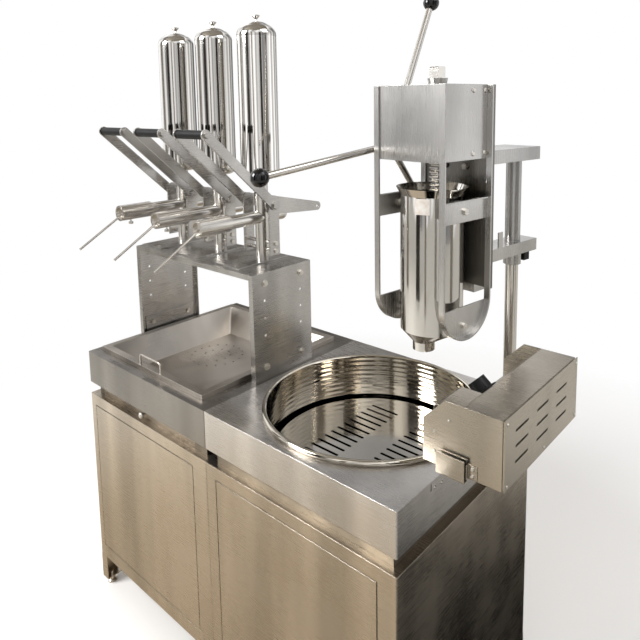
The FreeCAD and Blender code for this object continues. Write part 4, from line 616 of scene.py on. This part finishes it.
class Finishes:
    """One of each finish the station carries, made once and shared."""

    def __init__(self) -> None:
        """Make every material from its name, its colour and its roughness."""
        # Brushed sheet: grey on the worktops, warmer and softer below; the cabinets' warm tone is a
        # painted reflection of a warm floor, and the tonal copies below are painted shade and painted
        # light.
        self.cabinet = SatinSteel("satin_cabinet_steel", "#C6BBAC", 0.27).make()
        self.worktop = SatinSteel("satin_worktop_steel", "#B9B6B2", 0.28).make()
        # The two worktops are lighter and darker copies of one worktop steel: painted light on the right
        # one, painted shade on the left one.
        self.painted_tone = SatinSteel("painted_light_worktop_steel", "#D2CECA", 0.27).make()
        self.painted_shade_worktop = SatinSteel("painted_shade_worktop_steel", "#938F8A", 0.30).make()
        # The plinth steel is a darker, rougher copy: painted shade in the recess under the worktops'
        # overhang.
        self.plinth = SatinSteel("painted_shade_plinth_steel", "#7D766B", 0.42).make()
        self.stand = SatinSteel("satin_stand_steel", "#BEBCB9", 0.27, grain=Grain.UPRIGHT).make()
        # The back plate gets a darker copy of the stand steel: painted shade, standing in for the dark
        # reflection between the frame's side plates.
        self.shaded = SatinSteel("shaded_stand_steel", "#7A7772", 0.30, grain=Grain.UPRIGHT).make()
        self.head = SatinSteel("satin_head_steel", "#B0A89B", 0.26).make()
        # Buffed sheet: near mirrors with sharp upright bands; below the grid's height the pan and grid are
        # painted near black as shade.
        self.mirror = MirrorSteel("buffed_hopper_steel", "#CCC9C4", 0.07).make()
        # A lighter copy of the buffed hopper steel for the right hopper: painted light.
        self.bright = MirrorSteel("painted_light_hopper_steel", "#E9E6E1", 0.07).make()
        self.pan = MirrorSteel("buffed_pan_steel", "#C4BEB2", 0.08, spin=0.014, shade_below=0.6805).make()
        self.grid = MirrorSteel("buffed_grid_steel", "#CBC6BE", 0.12, shade_below=0.6827).make()
        # Pressed and turned steel: plain and pale, with little pull to the highlights.
        self.tray = SatinSteel("pressed_tray_steel", "#C9C2B9", 0.33, smear_size=0.3, pull=0.2).make()
        self.bar = TurnedSteel("turned_bar_steel", "#CFCBC5", 0.20).make()
        self.bolt = TurnedSteel("bright_bolt_steel", "#D0CCC5", 0.28).make()
        # Black plastic and resin and the browned tube: the station's darkest pieces.
        self.grip = MouldedBlack("black_moulded_grip", "#070707", 0.5).make()
        self.dial = MouldedBlack("black_moulded_dial", "#060606", 0.42, grain=0.0006).make()
        self.ball = PhenolicBall("black_phenolic_ball", "#040404", 0.14).make()
        self.element = ElementSheath("heater_tube_sheath", "#5C564E", 0.5).make()


def dress(nodes: list[str], material: bpy.types.Material) -> int:
    """Give CAD nodes one finish on all their material slots.

    Args:
        nodes: names of the CAD nodes.
        material: the finish.

    Returns:
        How many nodes were dressed.
    """
    for name in nodes:
        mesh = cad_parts[name].data
        if mesh.materials:
            for i in range(len(mesh.materials)):
                mesh.materials[i] = material
        else:
            mesh.materials.append(material)
    return len(nodes)


@dataclass
class Cabinets:
    """The two base cabinets with their doors, worktops, drawer and feet."""

    sheet_nodes: list[str] = field(default_factory=lambda: [
        "cabinet_left", "cabinet_right", "cabinet_legs", "door_left", "door_right", "crumb_drawer",
    ])
    hardware: list[str] = field(default_factory=lambda: [
        "door_hinge_pins", "drawer_knob", "station_bolts",
    ])
    feet: list[str] = field(default_factory=lambda: ["levelling_feet"])

    def dress(self, finishes: Finishes) -> int:
        """Put the sheet, worktop, hardware and foot finishes on.

        Args:
            finishes: the shared finishes.

        Returns:
            How many nodes were dressed.
        """
        return (
            dress(self.sheet_nodes, finishes.cabinet)
            # Painted shade on the left worktop, painted light on the right one.
            + dress(["worktop_left"], finishes.painted_shade_worktop)
            + dress(["worktop_right"], finishes.painted_tone)
            # Plinths: painted shade under the worktops' overhang.
            + dress(["worktop_plinths"], finishes.plinth)
            + dress(self.hardware, finishes.bolt)
            + dress(self.feet, finishes.bolt)
        )


@dataclass
class FillingBench:
    """The sugar tray, its bridge and the three hopper fillers on it."""

    places: tuple[str, ...] = ("left", "middle", "right")
    sheet_nodes: list[str] = field(default_factory=lambda: [
        "bridge_plate", "bridge_legs", "bridge_angles", "filler_base_plates", "filler_cheeks",
    ])
    bar_nodes: list[str] = field(default_factory=lambda: [
        "filler_posts", "filler_sleeves", "filler_spouts",
    ])

    def dress(self, finishes: Finishes) -> int:
        """Put the sheet, bar, buffed and grip finishes on.

        Args:
            finishes: the shared finishes.

        Returns:
            How many nodes were dressed.
        """
        hoppers = [f"hopper_{p}" for p in self.places[:2]] + [f"hopper_lid_{p}" for p in self.places]
        levers = [f"filler_lever_{p}" for p in self.places]
        grips = [f"lever_grip_{p}" for p in self.places]
        return (
            dress(self.sheet_nodes, finishes.worktop)
            + dress(self.bar_nodes, finishes.bar)
            + dress(["sugar_tray"], finishes.tray)
            + dress(["filler_clamp_screws"], finishes.bolt)
            + dress(hoppers, finishes.mirror)
            # Painted light on the right hopper.
            + dress(["hopper_right"], finishes.bright)
            + dress(levers, finishes.worktop)
            + dress(grips, finishes.grip)
        )


@dataclass
class Fryer:
    """The oil pan with its slotted plate, heater tube and control head."""

    head_nodes: list[str] = field(default_factory=lambda: [
        "head_case", "vent_cover", "lead_cover", "head_clip",
    ])

    def dress(self, finishes: Finishes) -> int:
        """Put the pan, head, element and dial finishes on.

        Args:
            finishes: the shared finishes.

        Returns:
            How many nodes were dressed.
        """
        return (
            dress(["fryer_pan"], finishes.pan)
            + dress(["slotted_grid"], finishes.grid)
            + dress(["heating_element"], finishes.element)
            + dress(self.head_nodes, finishes.head)
            + dress(["head_screws"], finishes.bolt)
            + dress(["thermostat_dial"], finishes.dial)
        )


@dataclass
class Press:
    """The swinging dough press: post, frame, cylinder, rack and spoked wheel."""

    sheet_nodes: list[str] = field(default_factory=lambda: [
        "swing_hanger", "press_side_frames", "press_side_plates", "gear_frame", "gear_cover",
    ])
    bar_nodes: list[str] = field(default_factory=lambda: [
        "press_post", "press_rack", "press_piston", "pinion_shaft", "wheel_spokes",
    ])

    def dress(self, finishes: Finishes) -> int:
        """Put the sheet, bar, buffed and ball finishes on.

        Args:
            finishes: the shared finishes.

        Returns:
            How many nodes were dressed.
        """
        return (
            dress(self.sheet_nodes, finishes.stand)
            # Painted shade on the back plate.
            + dress(["press_back_plate"], finishes.shaded)
            + dress(self.bar_nodes, finishes.bar)
            + dress(["press_cylinder", "press_nozzle"], finishes.mirror)
            + dress(["press_bolts"], finishes.bolt)
            + dress(["swing_lock"], finishes.grip)
            + dress(["wheel_balls"], finishes.ball)
        )


@dataclass
class Sticker:
    """Blank paper sticker wrapped round part of the dough cylinder: frame metres, and degrees."""

    axis: tuple[float, float] = (0.5351, 0.2323)
    radius: float = 0.0693
    thickness: float = 0.00025
    low: float = 1.337
    high: float = 1.371
    start: float = -88.4
    sweep: float = 26.5
    steps: int = 16

    def build(self) -> bpy.types.Object:
        """Spin the sticker's section round the cylinder's axis.

        Returns:
            The sticker, riding on the press.
        """
        x, y = self.axis
        near, far = self.radius, self.radius + self.thickness
        mesh = bmesh.new()
        section = [(near, self.low), (far, self.low), (far, self.high), (near, self.high)]
        face = mesh.faces.new([mesh.verts.new((x + r, y, z)) for r, z in section])
        turn = Matrix.Rotation(math.radians(self.start), 3, "Z")
        bmesh.ops.rotate(mesh, cent=(x, y, 0), matrix=turn, verts=mesh.verts[:])
        bmesh.ops.spin(
            mesh,
            geom=[face, *face.edges, *face.verts],
            cent=(x, y, 0),
            axis=(0, 0, 1),
            angle=math.radians(self.sweep),
            steps=self.steps,
        )
        bmesh.ops.recalc_face_normals(mesh, faces=mesh.faces[:])
        data = bpy.data.meshes.new("cylinder_sticker")
        mesh.to_mesh(data)
        mesh.free()
        data.materials.append(StickerPaper("coated_sticker_paper", "#E9E4DE", 0.45).make())
        sticker = bpy.data.objects.new("cylinder_sticker", data)
        bpy.context.scene.collection.objects.link(sticker)
        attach(sticker, "press")
        return sticker


@dataclass(frozen=True)
class Card:
    """One upright card round the station: its bearing in degrees, its metres and its paper."""

    name: str
    angle: float
    width: float
    paper: bpy.types.Material
    low: float = 0.0
    high: float = 3.2
    reach: float = 3.4


@dataclass
class Studio:
    """The pale floor, the cards, the lamps and the camera."""

    middle: Vec = (0.020, 0.280, 0.0)
    # The camera: its place from the middle, and where its right and its top point.
    eye: Vec = (1.22093, -1.16532, 1.56990)
    right: Vec = (0.7580, 0.6522, -0.0124)
    up: Vec = (-0.0722, 0.1028, 0.9921)
    lens: float = 34.10
    shift: tuple[float, float] = (-0.0347, -0.2187)
    sensor: float = 36.0
    # The floor: how far from the middle it fades out, how far its painted shadow reaches before it mirrors
    # pale, and where that painted shadow turns near black on the right.
    floor_size: float = 12.0
    floor_drop: float = 0.0005
    floor_roughness: float = 0.8
    fade_span: Span = (1.3, 2.4)
    pale_span: Span = (1.15, 2.0)
    shadow_side_span: Span = (0.40, 0.57)
    # The room's bands and their strengths, and the card above.
    band_scale: Vec = (2.4, 2.4, 0.5)
    band_span: Span = (0.40, 0.62)
    band_detail: float = 1.0
    band_strength: Span = (0.30, 1.6)
    paper_roughness: float = 0.9
    above_half: float = 1.6
    above_height: float = 3.6

    def from_middle(self, place: Vec) -> Vector:
        """Turn a place measured from the station's middle into one in the frame.

        Args:
            place: metres from the floor point under the middle of the cabinets.

        Returns:
            The place in the frame.
        """
        return Vector(self.middle) + Vector(place)

    def camera(self) -> None:
        """Set the camera at the station's viewing angle."""
        data = bpy.data.cameras.new("station_camera")
        data.lens = self.lens
        data.sensor_width = self.sensor
        data.shift_x, data.shift_y = self.shift
        right = Vector(self.right).normalized()
        back = right.cross(Vector(self.up)).normalized()
        up = back.cross(right)
        turn = Matrix((right, up, back)).transposed().to_4x4()
        camera = bpy.data.objects.new("station_camera", data)
        camera.matrix_world = Matrix.Translation(self.from_middle(self.eye)) @ turn
        bpy.context.scene.collection.objects.link(camera)
        bpy.context.scene.camera = camera

    def square(self, half: float, height: float) -> list[Vec]:
        """Corners of a level square about the frame's origin.

        Args:
            half: half its side.
            height: its height above the floor.

        Returns:
            The corners in order.
        """
        return [(-half, -half, height), (half, -half, height), (half, half, height), (-half, half, height)]

    def slab(self, name: str, corners: list[Vec], material: bpy.types.Material) -> bpy.types.Object:
        """Make one flat stage card from its corners.

        Args:
            name: the card's name.
            corners: its corners in order.
            material: its finish.

        Returns:
            The card.
        """
        mesh = bmesh.new()
        mesh.faces.new([mesh.verts.new(c) for c in corners])
        data = bpy.data.meshes.new(name)
        mesh.to_mesh(data)
        mesh.free()
        data.materials.append(material)
        card = bpy.data.objects.new(name, data)
        bpy.context.scene.collection.objects.link(card)
        return card

    def paper(self, name: str, colour: str) -> bpy.types.Material:
        """Matt paper that the steel mirrors and the camera looks through.

        Args:
            name: the material's name.
            colour: its sRGB colour.

        Returns:
            The material.
        """
        material, tree, shader = Finish(name, colour, self.paper_roughness).start()
        clear = add(tree, "ShaderNodeBsdfTransparent")
        surface(tree, layered(tree, by_camera(tree), shader.outputs[0], clear.outputs[0]))
        return material

    def floor(self) -> None:
        """Lay a floor that the camera sees pale and shadowed, and the steel mirrors with a painted shadow:
        darker near the station and near black on its right.
        """
        material, tree, shader = Finish("pale_floor_with_painted_shadow", "#F6F4F1", self.floor_roughness).start()
        offset = add(
            tree,
            "ShaderNodeVectorMath",
            {0: on_object(tree), 1: self.middle},
            operation="SUBTRACT",
        )
        away = add(tree, "ShaderNodeVectorMath", {0: offset.outputs[0]}, operation="LENGTH")
        sides = add(tree, "ShaderNodeSeparateXYZ", {0: offset.outputs[0]})
        fade = stretch(tree, away.outputs["Value"], self.fade_span)
        pale = stretch(tree, away.outputs["Value"], self.pale_span)
        right = stretch(tree, sides.outputs["X"], self.shadow_side_span)
        # Painted shadow of the station on the floor, seen only in reflections: warm grey near it, near
        # black on its right.
        near = blend(tree, Kind.COLOUR, right, linear("#B5A996"), linear("#060605"))
        mirrored = blend(tree, Kind.COLOUR, pale, near, linear("#E0DDD6"))
        dim = add(tree, "ShaderNodeBsdfDiffuse", {"Color": mirrored})
        white = add(tree, "ShaderNodeEmission", {"Color": WHITE, "Strength": 1.0})
        seen = by_camera(tree)
        lit = layered(tree, seen, dim.outputs[0], shader.outputs[0])
        surface(tree, layered(tree, calculate(tree, "MULTIPLY", fade, seen), lit, white.outputs[0]))
        self.slab("studio_floor", self.square(self.floor_size / 2, -self.floor_drop), material)

    def world(self) -> None:
        """Show white behind the station, and light it from soft bright and dim upright bands."""
        world = bpy.data.worlds.new("studio_room")
        bpy.context.scene.world = world
        world.use_nodes = True
        tree = world.node_tree
        tree.nodes.clear()
        place = add(tree, "ShaderNodeTexCoord").outputs["Generated"]
        bands = drawn_noise(tree, place, self.band_scale, self.band_detail)
        level = stretch(tree, bands, self.band_span, self.band_strength)
        room = add(tree, "ShaderNodeBackground", {"Color": linear("#FBFBFC"), "Strength": level})
        white = add(tree, "ShaderNodeBackground", {"Color": WHITE, "Strength": 1.0})
        mixed = layered(tree, by_camera(tree), room.outputs[0], white.outputs[0])
        output = add(tree, "ShaderNodeOutputWorld")
        tree.links.new(mixed, output.inputs["Surface"])

    def lamp(self, name: str, place: Vec, target: Vec, size: float, watts: float, colour: str) -> None:
        """Hang one soft square lamp.

        Args:
            name: the lamp's name.
            place: where it hangs, from the middle.
            target: what it points at, from the middle.
            size: its side in metres.
            watts: its power.
            colour: its sRGB colour.
        """
        data = bpy.data.lights.new(name, "AREA")
        data.size = size
        data.energy = watts
        data.color = linear(colour)[:3]
        light = bpy.data.objects.new(name, data)
        light.location = self.from_middle(place)
        light.rotation_euler = (Vector(target) - Vector(place)).to_track_quat("-Z", "Y").to_euler()
        bpy.context.scene.collection.objects.link(light)

    def cards(self) -> None:
        """Stand the grey and dark cards that give bright metal its bands."""
        dark = self.paper("dark_card_paper", "#2B2723")
        grey = self.paper("grey_card_paper", "#8A847B")
        above = self.paper("pale_card_paper", "#A8A299")
        shade = self.paper("shade_card_paper", "#68635C")
        for card in (
            Card("card_front_a", -100.0, 0.9, dark),
            Card("card_front_b", -72.0, 0.35, grey),
            Card("card_right_a", -22.0, 0.8, dark),
            Card("card_right_b", 12.0, 0.5, grey),
            Card("card_left_a", -150.0, 0.7, grey),
            Card("card_back", 138.0, 3.0, shade, low=0.3, high=2.5, reach=3.2),
        ):
            turn = math.radians(card.angle)
            middle = self.from_middle((math.cos(turn) * card.reach, math.sin(turn) * card.reach, 0))
            side = Vector((-math.sin(turn), math.cos(turn), 0)) * card.width / 2
            low, high = Vector((0, 0, card.low)), Vector((0, 0, card.high))
            near, far = middle - side, middle + side
            corners = [near + low, far + low, far + high, near + high]
            self.slab(card.name, [tuple(corner) for corner in corners], card.paper)
        self.slab("card_above", self.square(self.above_half, self.above_height), above)

    def build(self) -> None:
        """Set the whole studio up."""
        bpy.context.scene.view_settings.view_transform = "Standard"
        self.camera()
        self.floor()
        self.cards()
        self.world()
        self.lamp("key_lamp", (-1.5, -2.4, 2.7), (0, 0, 0.8), 1.3, 120.0, "#FFFFFF")
        self.lamp("top_lamp", (1.6, 0.4, 3.0), (0.1, 0, 1.0), 1.2, 14.0, "#FFFFFF")


def main() -> None:
    """Build and dress the station in order."""
    logging.basicConfig(level=logging.INFO, format="%(name)s: %(message)s")
    finishes = Finishes()
    for part in (Cabinets(), FillingBench(), Fryer(), Press()):
        count = part.dress(finishes)
        log.info("%s: %d nodes dressed", type(part).__name__, count)
    sticker = Sticker().build()
    log.info("%s built, %d faces", sticker.name, len(sticker.data.polygons))
    Studio().build()
    log.info("studio set up")


if __name__ == "__main__":
    main()
